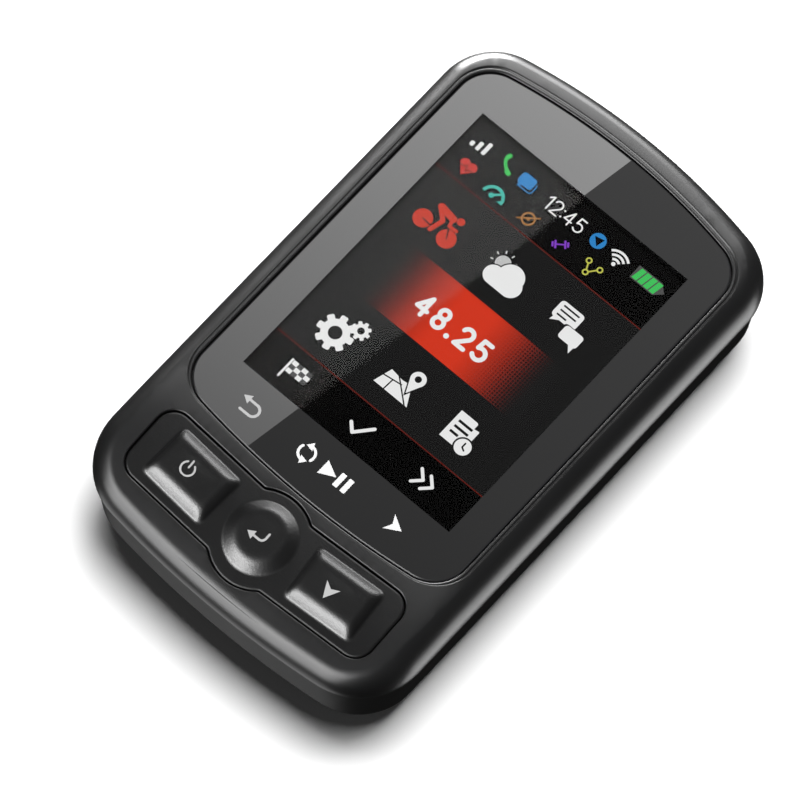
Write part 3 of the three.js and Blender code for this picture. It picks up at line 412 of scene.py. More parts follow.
class Skin:
    """A surface in millimetres, made of rings bridged to each other and of filled plans."""

    def __init__(self):
        self.points = []
        self.faces = []
        self.slots = []

    def ring(self, plan, z, lift=0.0):
        """Points over a plan, at a height or at what a function of x and y gives, plus a lift."""
        start = len(self.points)
        for x, y in plan:
            self.points.append((x, y, (z(x, y) if callable(z) else z) + lift))
        return list(range(start, len(self.points)))

    def face(self, corners, slot=0):
        self.faces.append(tuple(corners))
        self.slots.append(slot)

    def bridge(self, low, high, slot=0):
        for i in range(len(low)):
            k = (i + 1) % len(low)
            self.face((low[i], low[k], high[k], high[i]), slot)

    def run(self, rings, slot=0):
        for low, high in zip(rings, rings[1:]):
            self.bridge(low, high, slot)

    def plan(self, ring):
        return [self.points[i][:2] for i in ring]

    ROW = 0.866  # distance between rows of equal triangles, as a share of their side
    CLEAR = 0.45  # share of the spacing that the grid keeps away from the rings

    def fill(self, outer, holes=(), height=None, spacing=0.0, slot=0, down=False):
        """Triangles between a ring and the rings of its holes, with a grid of points between."""
        loops = [outer, *holes]
        plans = [self.plan(loop) for loop in loops]
        coordinates, owners, edges = [], [], []
        for loop, plan in zip(loops, plans):
            first = len(coordinates)
            coordinates += [Vector(p) for p in plan]
            owners += loop
            edges += [(first + i, first + (i + 1) % len(loop)) for i in range(len(loop))]
        if spacing:
            xs = [p[0] for p in plans[0]]
            ys = [p[1] for p in plans[0]]
            rows = int((max(ys) - min(ys)) / (spacing * self.ROW))
            columns = int((max(xs) - min(xs)) / spacing)
            for j in range(1, rows + 1):
                for i in range(columns + 1):
                    x = min(xs) + (i + 0.5 * (j % 2)) * spacing
                    y = min(ys) + j * spacing * self.ROW
                    if not inside((x, y), plans[0]) or any(inside((x, y), p) for p in plans[1:]):
                        continue
                    if min(distance_to((x, y), p) for p in plans) < self.CLEAR * spacing:
                        continue
                    coordinates.append(Vector((x, y)))
                    self.points.append((x, y, height(x, y)))
                    owners.append(len(self.points) - 1)
        result = geometry.delaunay_2d_cdt(coordinates, edges, [], 1, 1e-7)
        made, _, triangles, origins = result[:4]
        crossings = [tuple(p) for p, origin in zip(made, origins) if not origin]
        if crossings:
            raise ValueError(f"outlines cross at {crossings[:3]}")
        index = [owners[origin[0]] for origin in origins]
        walls = {frozenset((owners[a], owners[b])) for a, b in edges}
        triangles = [tuple(index[i] for i in t) for t in triangles]
        neighbours = {}
        for n, t in enumerate(triangles):
            for a, b in zip(t, t[1:] + t[:1]):
                neighbours.setdefault(frozenset((a, b)), []).append(n)
        rim = {frozenset((outer[i], outer[(i + 1) % len(outer)])) for i in range(len(outer))}
        seen = {n for edge in rim for n in neighbours.get(edge, [])}
        front = list(seen)
        while front:
            t = triangles[front.pop()]
            for a, b in zip(t, t[1:] + t[:1]):
                edge = frozenset((a, b))
                if edge in walls:
                    continue
                for n in neighbours[edge]:
                    if n not in seen:
                        seen.add(n)
                        front.append(n)
        for n in sorted(seen):
            a, b, c = triangles[n]
            self.face((a, c, b) if down else (a, b, c), slot)

    def fan(self, ring, centre, down=False):
        self.points.append(centre)
        tip = len(self.points) - 1
        for a, b in zip(ring, ring[1:] + ring[:1]):
            self.face((b, a, tip) if down else (a, b, tip))

    def build(self, name, materials, sharp=38, closed=True):
        mesh = bpy.data.meshes.new(name)
        mesh.from_pydata([Vector(p) * MM for p in self.points], [], self.faces)
        for entry in materials:
            mesh.materials.append(entry)
        mesh.polygons.foreach_set("material_index", self.slots)
        mesh.validate()
        if closed:
            face_out(mesh)
        mesh.shade_smooth()
        mesh.set_sharp_from_angle(angle=math.radians(sharp))
        piece = bpy.data.objects.new(name, mesh)
        bpy.context.collection.objects.link(piece)
        if closed:
            modifier = piece.modifiers.new("Weighted normals", "WEIGHTED_NORMAL")
            modifier.keep_sharp = True
        return piece


def face_out(mesh):
    """Turns every face of a closed mesh to point out of it."""
    made = bmesh.new()
    made.from_mesh(mesh)
    bmesh.ops.recalc_face_normals(made, faces=made.faces)
    made.to_mesh(mesh)
    made.free()


def lathe(skin, profile, x, y, steps):
    """A turned solid from (radius, height) pairs, whose first and last are on the axis."""
    rings = [skin.ring(circle(x, y, radius, steps), z) for radius, z in profile[1:-1]]
    skin.run(rings)
    skin.fan(rings[0], (x, y, profile[0][1]), down=True)
    skin.fan(rings[-1], (x, y, profile[-1][1]))


def slab(skin, plan, low, high, edge, steps=3):
    """A plate with rounded edges; plan(grow) gives its outline."""
    rings = []
    for i in range(steps + 1):
        a = math.pi / 2 * i / steps
        rings.append(skin.ring(plan(-edge * (1 - math.sin(a))), low + edge * (1 - math.cos(a))))
    for i in range(steps + 1):
        a = math.pi / 2 * i / steps
        rings.append(skin.ring(plan(-edge * (1 - math.cos(a))), high - edge * (1 - math.sin(a))))
    skin.run(rings)
    skin.fill(rings[0], down=True)
    skin.fill(rings[-1])


# ---------------------------------------------------------------------------------------------
# Shader groups
# ---------------------------------------------------------------------------------------------


def node(tree, kind, **values):
    made = tree.nodes.new(kind)
    for label, value in values.items():
        setattr(made, label, value)
    return made


class Group:
    """A shader group being wired; its first input is the position that it is read at."""

    def __init__(self, name, inputs, outputs):
        self.tree = bpy.data.node_groups.new(name, "ShaderNodeTree")
        self.socket("Position", "INPUT", "NodeSocketVector")
        for label, default in inputs.items():
            kind = "NodeSocketColor" if isinstance(default, tuple) else "NodeSocketFloat"
            self.socket(label, "INPUT", kind).default_value = default
        for label in outputs:
            kind = "NodeSocketColor" if label == "Colour" else "NodeSocketFloat"
            self.socket(label, "OUTPUT", kind)
        self.given = node(self.tree, "NodeGroupInput").outputs
        self.results = node(self.tree, "NodeGroupOutput").inputs

    def socket(self, label, way, kind):
        return self.tree.interface.new_socket(label, in_out=way, socket_type=kind)

    def put(self, value, socket):
        """Links a socket to another one's output, or sets it to a plain value."""
        if isinstance(value, (int, float, tuple)):
            socket.default_value = value
        else:
            self.tree.links.new(value, socket)

    def maths(self, operation, a, b=None, clamp=False):
        made = node(self.tree, "ShaderNodeMath", operation=operation, use_clamp=clamp)
        self.put(a, made.inputs[0])
        if b is not None:
            self.put(b, made.inputs[1])
        return made.outputs[0]

    def times(self, a, b, clamp=False):
        return self.maths("MULTIPLY", a, b, clamp)

    def plus(self, a, b, clamp=False):
        return self.maths("ADD", a, b, clamp)

    def minus(self, a, b, clamp=False):
        return self.maths("SUBTRACT", a, b, clamp)

    def noise(self, scale, detail=2.0, roughness=0.5, position=None):
        made = node(self.tree, "ShaderNodeTexNoise")
        self.put(self.given["Position"] if position is None else position, made.inputs["Vector"])
        self.put(scale, made.inputs["Scale"])
        self.put(detail, made.inputs["Detail"])
        self.put(roughness, made.inputs["Roughness"])
        return made.outputs["Fac"]

    def cells(self, scale, metric="EUCLIDEAN"):
        """The distance to the nearest of many scattered points."""
        made = node(self.tree, "ShaderNodeTexVoronoi", distance=metric)
        self.put(self.given["Position"], made.inputs["Vector"])
        self.put(scale, made.inputs["Scale"])
        return made.outputs["Distance"]

    def waves(self):
        """Two waves between 0 and 1, along X and along Y, that repeat at the given pitch."""
        split = node(self.tree, "ShaderNodeSeparateXYZ")
        self.put(self.given["Position"], split.inputs[0])
        waves = []
        for axis in ("X", "Y"):
            turns = self.maths("DIVIDE", split.outputs[axis], self.given["Pitch"])
            wave = self.maths("SINE", self.times(turns, 2 * math.pi))
            waves.append(self.times(self.plus(wave, 1.0), 0.5))
        return split.outputs["X"], *waves

    def mix(self, factor, first, second):
        """Sends the blend of two colours to the group's Colour."""
        made = node(self.tree, "ShaderNodeMix", data_type="RGBA")
        self.put(factor, made.inputs["Factor"])
        self.put(first, made.inputs[6])
        self.put(second, made.inputs[7])
        self.put(made.outputs[2], self.results["Colour"])


def moulded_grain_group():
    """Spark-eroded mould texture: fine noise over shallow pits."""
    g = Group("Moulded grain", {"Scale": 9000.0, "Softness": 0.5}, ["Height"])
    fine = g.noise(g.given["Scale"], 3.0, 0.6)
    pits = g.cells(g.times(g.given["Scale"], 0.55))
    g.put(g.plus(fine, g.times(pits, g.given["Softness"])), g.results["Height"])
    return g.tree


def handling_marks_group():
    """Roughness that finger marks and light rubbing leave on a smooth surface."""
    g = Group("Handling marks", {"Scale": 90.0, "Base": 0.35, "Amount": 0.06}, ["Roughness"])
    smear = g.noise(g.given["Scale"], 4.0, 0.65)
    fine = g.noise(g.times(g.given["Scale"], 14.0))
    mixed = g.plus(g.times(smear, 0.7), g.times(fine, 0.3))
    shift = g.times(g.minus(mixed, 0.5), g.given["Amount"])
    g.put(g.plus(g.given["Base"], g.times(shift, 2.0), clamp=True), g.results["Roughness"])
    return g.tree


def fine_dust_group():
    """Sparse pale specks and a faint cloud of dust over a colour."""
    colours = {"Surface": (0.02, 0.02, 0.02, 1), "Dust": (0.2, 0.2, 0.19, 1)}
    g = Group("Fine dust", {**colours, "Amount": 0.05, "Scale": 1600.0}, ["Colour"])
    near = g.maths("LESS_THAN", g.cells(g.given["Scale"]), 0.085)
    cloud = g.noise(g.times(g.given["Scale"], 0.05), 4.0)
    mask = g.plus(g.times(near, 0.6), g.times(cloud, 0.4))
    factor = g.times(mask, g.given["Amount"], clamp=True)
    g.mix(factor, g.given["Surface"], g.given["Dust"])
    return g.tree


def drawn_metal_group():
    """Fine drawn lines along X, with the roughness they give."""
    g = Group("Drawn metal", {"Scale": 4000.0, "Base": 0.3}, ["Height", "Roughness"])
    stretch = node(g.tree, "ShaderNodeVectorMath", operation="MULTIPLY")
    g.put(g.given["Position"], stretch.inputs[0])
    g.put((0.04, 1, 1), stretch.inputs[1])
    lines = g.noise(g.given["Scale"], position=stretch.outputs[0])
    g.put(lines, g.results["Height"])
    shift = g.times(g.minus(lines, 0.5), 0.25)
    g.put(g.plus(g.given["Base"], shift, clamp=True), g.results["Roughness"])
    return g.tree


def pixel_grid_group():
    """The dark gaps between a liquid crystal screen's pixels, over a colour."""
    inputs = {"Colour": (1.0, 1.0, 1.0, 1.0), "Pitch": 0.000141, "Depth": 0.2}
    g = Group("Pixel grid", inputs, ["Colour"])
    _, across, along = g.waves()
    gap = g.times(g.maths("MAXIMUM", across, along), g.given["Depth"])
    g.mix(gap, g.given["Colour"], (0.0, 0.0, 0.0, 1.0))
    return g.tree


def halftone_band_group():
    """A band of colour that breaks into dots as it fades to both sides."""
    colours = {"Band": (0.6, 0.04, 0.01, 1), "Ground": (0.008, 0.008, 0.008, 1)}
    sizes = {"Middle": 0.0, "Reach": 0.0125, "Pitch": 0.00042}
    g = Group("Halftone band", {**colours, **sizes}, ["Colour"])
    x, across, along = g.waves()
    off = g.maths("ABSOLUTE", g.minus(x, g.given["Middle"]))
    share = g.minus(1.0, g.maths("DIVIDE", off, g.given["Reach"]), clamp=True)
    fade = g.times(g.times(share, share), g.minus(3.0, g.times(share, 2.0)))
    broken = g.times(g.times(across, along), g.minus(1.0, fade))
    level = g.minus(g.times(fade, 1.12), g.times(broken, 0.55), clamp=True)
    g.mix(level, g.given["Ground"], g.given["Band"])
    return g.tree


def board_traces_group():
    """Copper runs under solder mask, as straight runs at right angles."""
    colours = {"Mask": (0.01, 0.07, 0.03, 1), "Copper": (0.03, 0.16, 0.06, 1)}
    g = Group("Board traces", {**colours, "Scale": 900.0}, ["Colour", "Height"])
    rings = g.times(g.cells(g.given["Scale"], "MANHATTAN"), 3.0)
    run = g.maths("LESS_THAN", g.maths("FRACT", rings), 0.3)
    g.mix(run, g.given["Mask"], g.given["Copper"])
    g.put(run, g.results["Height"])
    return g.tree


# ---------------------------------------------------------------------------------------------
# Materials
# ---------------------------------------------------------------------------------------------

GROUPS = {}
MATERIALS = {}


def build_groups():
    GROUPS.update(
        grain=moulded_grain_group(),
        marks=handling_marks_group(),
        dust=fine_dust_group(),
        drawn=drawn_metal_group(),
        pixels=pixel_grid_group(),
        halftone=halftone_band_group(),
        traces=board_traces_group(),
    )


class Finish:
    """One material being wired: its tree, its Principled shader and its object coordinates."""

    def __init__(self, name, base, roughness=0.5, metallic=0.0, **sockets):
        self.material = bpy.data.materials.new(name)
        self.material.use_nodes = True
        self.tree = self.material.node_tree
        self.shader = self.tree.nodes["Principled BSDF"]
        self.shader.inputs["Base Color"].default_value = (*base, 1)
        self.shader.inputs["Roughness"].default_value = roughness
        self.shader.inputs["Metallic"].default_value = metallic
        for label, value in sockets.items():
            self.shader.inputs[label.replace("_", " ")].default_value = value
        self.position = node(self.tree, "ShaderNodeTexCoord").outputs["Object"]
        MATERIALS[name] = self.material

    def group(self, key, **values):
        made = node(self.tree, "ShaderNodeGroup", node_tree=GROUPS[key])
        self.tree.links.new(self.position, made.inputs["Position"])
        for label, value in values.items():
            made.inputs[label].default_value = value
        return made

    def bump(self, height, strength, distance):
        made = node(self.tree, "ShaderNodeBump")
        made.inputs["Strength"].default_value = strength
        made.inputs["Distance"].default_value = distance
        self.tree.links.new(height, made.inputs["Height"])
        self.tree.links.new(made.outputs["Normal"], self.shader.inputs["Normal"])

    def feed(self, output, label):
        self.tree.links.new(output, self.shader.inputs[label])


def moulded(name, base, roughness, grain_scale, grain_depth, dust=0.05, marks=0.05):
    """Plastic or rubber: mould grain, a little dust, and roughness that handling has varied."""
    f = Finish(name, base, roughness)
    grain = f.group("grain", Scale=grain_scale)
    dusty = f.group("dust", Surface=(*base, 1), Amount=dust)
    worn = f.group("marks", Base=roughness, Amount=marks)
    f.feed(dusty.outputs["Colour"], "Base Color")
    f.feed(worn.outputs["Roughness"], "Roughness")
    f.bump(grain.outputs["Height"], 0.35, grain_depth * MM)


def metal(name, base, roughness, scale=4000.0, depth=0.004):
    f = Finish(name, base, roughness, metallic=1.0)
    drawn = f.group("drawn", Scale=scale, Base=roughness)
    dusty = f.group("dust", Surface=(*base, 1), Amount=0.04)
    f.feed(dusty.outputs["Colour"], "Base Color")
    f.feed(drawn.outputs["Roughness"], "Roughness")
    f.bump(drawn.outputs["Height"], 0.3, depth * MM)


def lit(name, key, **values):
    """A colour on the lit screen, from one of the shader groups."""
    f = Finish(name, (0.0, 0.0, 0.0), 0.5, Specular_IOR_Level=0.0)
    f.feed(f.group(key, **values).outputs["Colour"], "Emission Color")
    f.shader.inputs["Emission Strength"].default_value = settings().screen.brightness


def window_glass():
    """Clear glass with an anti-reflection coating, which lets the lamps through."""
    f = Finish("window_glass", (0.98, 0.985, 0.98), 0.0, Transmission_Weight=1.0, IOR=1.18)
    worn = f.group("marks", Base=0.012, Amount=0.012, Scale=140.0)
    f.feed(worn.outputs["Roughness"], "Roughness")
    tree = f.tree
    clear = node(tree, "ShaderNodeBsdfTransparent")
    path = node(tree, "ShaderNodeLightPath")
    mix = node(tree, "ShaderNodeMixShader")
    tree.links.new(path.outputs["Is Shadow Ray"], mix.inputs[0])
    tree.links.new(f.shader.outputs[0], mix.inputs[1])
    tree.links.new(clear.outputs[0], mix.inputs[2])
    tree.links.new(mix.outputs[0], tree.nodes["Material Output"].inputs["Surface"])


def glass_border(base):
    """The printed border seen through polished glass: a plain dark coat under a hard gloss."""
    f = Finish("glass_border", base, 0.004, IOR=1.8)
    worn = f.group("marks", Base=0.003, Amount=0.003, Scale=120.0)
    dusty = f.group("dust", Surface=(*base, 1), Amount=0.02, Scale=900.0)
    f.feed(dusty.outputs["Colour"], "Base Color")
    f.feed(worn.outputs["Roughness"], "Roughness")


def circuit_board():
    f = Finish("circuit_board", (0.01, 0.07, 0.03), 0.35)
    traces = f.group("traces")
    worn = f.group("marks", Base=0.35, Amount=0.05, Scale=300.0)
    f.feed(traces.outputs["Colour"], "Base Color")
    f.feed(worn.outputs["Roughness"], "Roughness")
    f.bump(traces.outputs["Height"], 0.4, 0.03 * MM)


def build_materials():
    s = settings()
    build_groups()
    moulded("shell_plastic", s.case.plastic, s.case.gloss, 9000, 0.012)
    moulded("key_rubber", s.keys.rubber, 0.4, 4500, 0.045, dust=0.04)
    moulded("seal_rubber", (0.02, 0.02, 0.02), 0.6, 5000, 0.02)
    moulded("key_symbol", s.keys.symbol, 0.5, 7000, 0.008, dust=0.02)
    moulded("glass_print", s.glass.print_colour, 0.25, 12000, 0.004, dust=0.0, marks=0.02)
    moulded("white_plastic", (0.72, 0.72, 0.68), 0.45, 6000, 0.01)
    moulded("glass_edge", (0.02, 0.02, 0.021), 0.3, 12000, 0.004, dust=0.0, marks=0.02)
    moulded("adhesive_tape", (0.015, 0.015, 0.015), 0.7, 3000, 0.02)
    moulded("foam", (0.03, 0.03, 0.03), 0.95, 1800, 0.12)
    moulded("chip_epoxy", (0.012, 0.012, 0.013), 0.5, 9000, 0.01)
    moulded("ceramic", (0.66, 0.6, 0.46), 0.5, 8000, 0.01)
    moulded("red_insulation", (0.5, 0.015, 0.015), 0.4, 5000, 0.01)
    moulded("black_insulation", (0.012, 0.012, 0.012), 0.4, 5000, 0.01)
    moulded("ribbon_film", (0.4, 0.14, 0.02), 0.25, 3000, 0.004)
    moulded("screen_black", (0.002, 0.002, 0.002), 0.3, 12000, 0.002, dust=0.0)
    metal("tinned_steel", (0.6, 0.61, 0.63), 0.28)
    metal("screw_steel", (0.16, 0.16, 0.165), 0.32, scale=6000)
    metal("spring_steel", (0.55, 0.54, 0.5), 0.22)
    metal("pouch_foil", (0.5, 0.52, 0.55), 0.38, scale=900, depth=0.03)
    circuit_board()
    window_glass()
    glass_border(tuple(s.glass.border))
    for name, value in {
        "lit_white": (0.93, 0.93, 0.93),
        "lit_green": (0.06, 0.6, 0.12),
        "lit_blue": (0.03, 0.25, 0.62),
        "lit_red": (0.62, 0.05, 0.04),
        "lit_teal": (0.07, 0.55, 0.46),
        "lit_orange": (0.45, 0.2, 0.05),
        "lit_purple": (0.25, 0.06, 0.62),
        "lit_yellow": (0.6, 0.6, 0.1),
        "lit_grey": (0.09, 0.09, 0.09),
        "lit_pale": (0.6, 0.6, 0.6),
        "lit_line": (0.12, 0.012, 0.008),
        "lit_black": (0.0, 0.0, 0.0),
        "lit_rider": tuple(s.screen.rider),
        "lit_ground": tuple(s.screen.ground),
    }.items():
        lit(name, "pixels", Colour=(*value, 1), Depth=0.18)
    band, ground = (*s.screen.band, 1), (*s.screen.ground, 1)
    lit("lit_band", "halftone", Band=band, Ground=ground, Middle=-0.0002)


# ---------------------------------------------------------------------------------------------
# Flat drawing
# ---------------------------------------------------------------------------------------------


class Drawing:
    """Flat shapes in layers, each a hair above the last, on a surface of given height."""

    LAYER = 0.004
    LIFT = 0.00025  # each shape within a layer stands this much above the one before
    LIFTS = 16  # the lift starts again after this many shapes
    HEAD = 0.62  # an arrowhead's half width, as a share of its length

    def __init__(self, height, place=lambda x, y: (x, y)):
        self.skin = Skin()
        self.height = height
        self.place = place
        self.names = []
        self.shapes = 0

    def slot(self, name):
        if name not in self.names:
            self.names.append(name)
        return self.names.index(name)

    def vertices(self, points, layer):
        start = len(self.skin.points)
        self.shapes += 1
        lift = self.LIFT * (self.shapes % self.LIFTS)
        for point in points:
            x, y = self.place(*point)
            self.skin.points.append((x, y, self.height(x, y) + layer * self.LAYER + lift))
        return list(range(start, len(self.skin.points)))

    def polygon(self, points, name, layer=0):
        area = sum(a[0] * b[1] - b[0] * a[1] for a, b in zip(points, points[1:] + points[:1]))
        if area < 0:
            points = points[::-1]
        index = self.vertices(points, layer)
        for triangle in geometry.tessellate_polygon([[Vector((*p, 0)) for p in points]]):
            a, b, c = (points[i] for i in triangle)
            turn = (b[0] - a[0]) * (c[1] - a[1]) - (c[0] - a[0]) * (b[1] - a[1])
            corners = [index[i] for i in triangle]
            self.skin.face(corners if turn > 0 else corners[::-1], self.slot(name))

    def disc(self, x, y, radius, name, layer=0, steps=28):
        self.polygon(circle(x, y, radius, steps), name, layer)

    def box(self, x, y, width, height, name, layer=0, corner=0.0, turn=0.0):
        if corner:
            plan = rounded_box(width, height, corner, x, y, 4, 1, math.radians(turn))
            self.polygon(plan, name, layer)
            return
        w, h = width / 2, height / 2
        self.turned([(-w, -h), (w, -h), (w, h), (-w, h)], x, y, turn, name, layer)

    def turned(self, points, x, y, turn, name, layer):
        """A polygon turned about its own origin, in degrees, and moved to x, y."""
        c, s = math.cos(math.radians(turn)), math.sin(math.radians(turn))
        self.polygon([(x + p * c - q * s, y + p * s + q * c) for p, q in points], name, layer)

    def hoop(self, x, y, radius, width, start, end, name, layer=0, steps=24, caps=False):
        outer = arc(x, y, radius + width / 2, start, end, steps)
        inner = arc(x, y, radius - width / 2, start, end, steps)
        for i in range(steps):
            self.polygon([inner[i], outer[i], outer[i + 1], inner[i + 1]], name, layer)
        if caps:
            for angle in (start, end):
                a = math.radians(angle)
                self.disc(x + radius * math.cos(a), y + radius * math.sin(a), width / 2, name, layer, 12)

    def stroke(self, points, width, name, layer=0, caps=True):
        for (ax, ay), (bx, by) in zip(points, points[1:]):
            size = math.hypot(bx - ax, by - ay)
            if size < 1e-6:
                continue
            nx, ny = -(by - ay) / size * width / 2, (bx - ax) / size * width / 2
            start = [(ax + nx, ay + ny), (ax - nx, ay - ny)]
            end = [(bx - nx, by - ny), (bx + nx, by + ny)]
            self.polygon(start + end, name, layer)
        joints = points if caps else points[1:-1]
        for x, y in joints:
            self.disc(x, y, width / 2, name, layer, 12)

    def arrowhead(self, x, y, size, turn, name, layer=0):
        """A triangle whose tip is at x, y and points along turn, in degrees."""
        side = size * self.HEAD
        self.turned([(0, 0), (-size, side), (-size, -side)], x, y, turn, name, layer)

    def digits(self, text, x, y, height, width, name, layer=0, gap=0.22):
        """Numbers only, drawn with one stroke width, starting at x with their feet at y."""
        unit = height - width
        for mark in text:
            if mark in ".:":
                for up in (0.0,) if mark == "." else (0.18, 0.68):
                    self.disc(x + width * 0.6, y + width / 2 + up * unit, width * 0.62, name, layer, 16)
                x += width * 1.2 + gap * height
                continue
            left, foot = x + width / 2, y + width / 2
            for line in DIGITS[mark]:
                self.stroke([(left + p * unit, foot + q * unit) for p, q in line], width, name, layer)
            x += DIGIT_WIDTH[mark] * unit + width + gap * height

    def build(self, name):
        return self.skin.build(name, [MATERIALS[n] for n in self.names], closed=False)


DIGITS = {
    "1": [[(0.0, 0.78), (0.26, 1.0), (0.26, 0.0)]],
    "2": [arc(0.28, 0.71, 0.28, 165, -38, 12) + [(0.02, 0.0), (0.58, 0.0)]],
    "3": [arc(0.26, 0.75, 0.25, 150, -90, 12), arc(0.26, 0.27, 0.28, 90, -150, 12)],
    "4": [[(0.42, 0.0), (0.42, 1.0), (0.0, 0.3), (0.58, 0.3)]],
    "5": [[(0.52, 1.0), (0.1, 1.0), (0.05, 0.55)] + arc(0.27, 0.32, 0.31, 118, -145, 14)],
    "8": [arc(0.28, 0.75, 0.24, 0, 360, 20), arc(0.28, 0.26, 0.27, 0, 360, 20)],
}
DIGIT_WIDTH = {"1": 0.28, "2": 0.58, "3": 0.54, "4": 0.6, "5": 0.58, "8": 0.56}


# ---------------------------------------------------------------------------------------------
# Screen icons, each drawn about its own middle
# ---------------------------------------------------------------------------------------------


def draw_status_row(d):
    for i, tall in enumerate((0.7, 1.3, 1.9)):
        d.box(-15.3 + i * 0.95, 18.35 + tall / 2, 0.55, tall, "lit_white", 1, 0.14)
    d.hoop(-8.9, 20.65, 1.95, 0.42, 188, 262, "lit_green", 1)
    for x, y, turn in ((-10.65, 20.4, 78), (-9.35, 18.6, -8)):
        d.box(x, y, 0.85, 0.6, "lit_green", 1, 0.2, turn)
    d.box(-6.35, 19.0, 2.2, 1.7, "lit_blue", 1, 0.45)
    d.box(-6.35, 19.0, 1.9, 1.4, "lit_black", 2, 0.35)
    d.box(-6.75, 19.4, 2.5, 2.0, "lit_black", 3, 0.5)
    d.box(-6.75, 19.4, 2.2, 1.7, "lit_blue", 4, 0.42)
    d.polygon([(-7.5, 18.75), (-6.7, 18.75), (-7.4, 18.0)], "lit_blue", 4)
    d.digits("12:45", -3.25, 18.05, 2.15, 0.22, "lit_white", 1, 0.11)
    d.disc(5.15, 19.15, 1.08, "lit_blue", 1)
    d.arrowhead(5.75, 19.75, 1.15, 45, "lit_black", 2)
    for radius in (0.75, 1.35, 1.95):
        d.hoop(8.6, 17.95, radius, 0.33, 45, 135, "lit_white", 1)
    d.disc(8.6, 18.05, 0.28, "lit_white", 1)
    d.polygon([(11.2, 20.15), (14.9, 20.15), (16.0, 19.15), (14.9, 18.1), (11.2, 18.1)], "lit_grey", 1)
    for i in range(4):
        x = 11.35 + i * 0.92
        upper = [(x + 0.35, 20.0), (x + 1.1, 20.0)]
        d.polygon([*upper, (x + 0.8, 18.25), (x + 0.05, 18.25)], "lit_green", 2)


def draw_sensor_row(d):
    y = 15.65
    for side in (-1, 1):
        d.disc(-13.62 + side * 0.57, y + 0.45, 0.66, "lit_red", 1)
    d.polygon([(-14.8, y + 0.25), (-12.44, y + 0.25), (-13.62, y - 1.15)], "lit_red", 1)
    pulse = [(-14.9, y), (-14.0, y), (-13.75, y + 0.4), (-13.45, y - 0.45), (-13.2, y), (-12.3, y)]
    d.stroke(pulse, 0.13, "lit_black", 2, caps=False)
    d.hoop(-8.65, y - 0.85, 1.42, 0.42, 20, 178, "lit_teal", 1)
    d.stroke([(-8.9, y - 0.7), (-7.75, y + 0.35)], 0.3, "lit_teal", 1)
    d.disc(-8.85, y - 0.7, 0.36, "lit_teal", 1)
    d.polygon([(-7.85, y - 0.95), (-7.0, y - 0.95), (-7.1, y - 0.2)], "lit_teal", 1)
    d.hoop(-3.3, y - 0.05, 0.82, 0.24, 0, 360, "lit_orange", 1)
    d.stroke([(-4.5, y - 0.85), (-2.2, y + 0.95)], 0.2, "lit_orange", 1)
    d.disc(-3.3, y - 0.05, 0.24, "lit_orange", 1)
    for side in (-1, 1):
        for off, tall in ((0.62, 1.15), (0.98, 0.72)):
            x, h = 1.95 + side * off * 0.8, y + side * off * 0.6
            d.box(x, h, 0.26, tall, "lit_purple", 1, 0.08, 38)
    d.stroke([(1.5, y - 0.34), (2.4, y + 0.34)], 0.2, "lit_purple", 1)
    knots = [(6.05, y + 0.75), (6.7, y - 0.75), (7.9, y + 0.65)]
    for x, h in knots:
        d.hoop(x, h, 0.34, 0.2, 0, 360, "lit_yellow", 1, 16)
    d.stroke([(6.2, y + 0.4), (6.55, y - 0.35)], 0.2, "lit_yellow", 1)
    d.stroke([(6.95, y - 0.5), (7.65, y + 0.4)], 0.2, "lit_yellow", 1)


def draw_rider(d, x=-13.2, y=6.9):
    """A rider bent over a bicycle; x and y are the middle of the rear wheel."""
    red, gap = "lit_rider", "lit_ground"
    front_x, front_y = x + 4.06, y - 0.2
    d.disc(x, y, 1.3, red, 1)
    d.disc(front_x, front_y, 1.3, red, 1)
    d.stroke([(x, y), (x + 1.35, y - 0.1)], 0.2, gap, 2)
    d.stroke([(front_x, front_y), (front_x - 0.75, y + 1.15)], 0.2, gap, 2)
    d.stroke([(x + 0.85, y + 2.65), (x + 2.1, y + 1.35), (x + 1.65, y - 0.6)], 0.9, gap, 3)
    d.stroke([(x + 0.75, y + 2.75), (x + 3.0, y + 2.4)], 0.95, red, 4)
    d.stroke([(x + 0.75, y + 2.6), (x + 2.15, y + 1.35), (x + 1.65, y - 0.55)], 0.62, red, 4)
    d.stroke([(x + 3.0, y + 2.3), (x + 3.2, y + 1.35), (x + 4.35, y + 1.4)], 0.45, red, 4)
    d.disc(x + 3.95, y + 2.75, 0.52, red, 4)


def draw_weather(d, x=-0.25, y=7.9):
    for turn in (35, 75, 115, 155, 195):
        a = math.radians(turn)
        at = x - 1.45 + 1.55 * math.cos(a), y + 1.05 + 1.55 * math.sin(a)
        d.box(*at, 0.42, 0.14, "lit_white", 1, turn=turn)
    d.disc(x - 1.45, y + 1.05, 1.05, "lit_pale", 1)
    d.hoop(x - 1.45, y + 1.05, 1.12, 0.1, 0, 360, "lit_ground", 2)
    puffs = ((-1.35, -0.9, 1.35), (0.55, 0.15, 1.85), (1.35, -0.75, 1.5))
    for cx, cy, radius in puffs:
        d.disc(x + cx, y + cy, radius + 0.16, "lit_ground", 3)
    d.box(x + 0.1, y - 1.45, 3.0, 1.6, "lit_white", 4)
    for cx, cy, radius in puffs:
        d.disc(x + cx, y + cy, radius, "lit_white", 4)


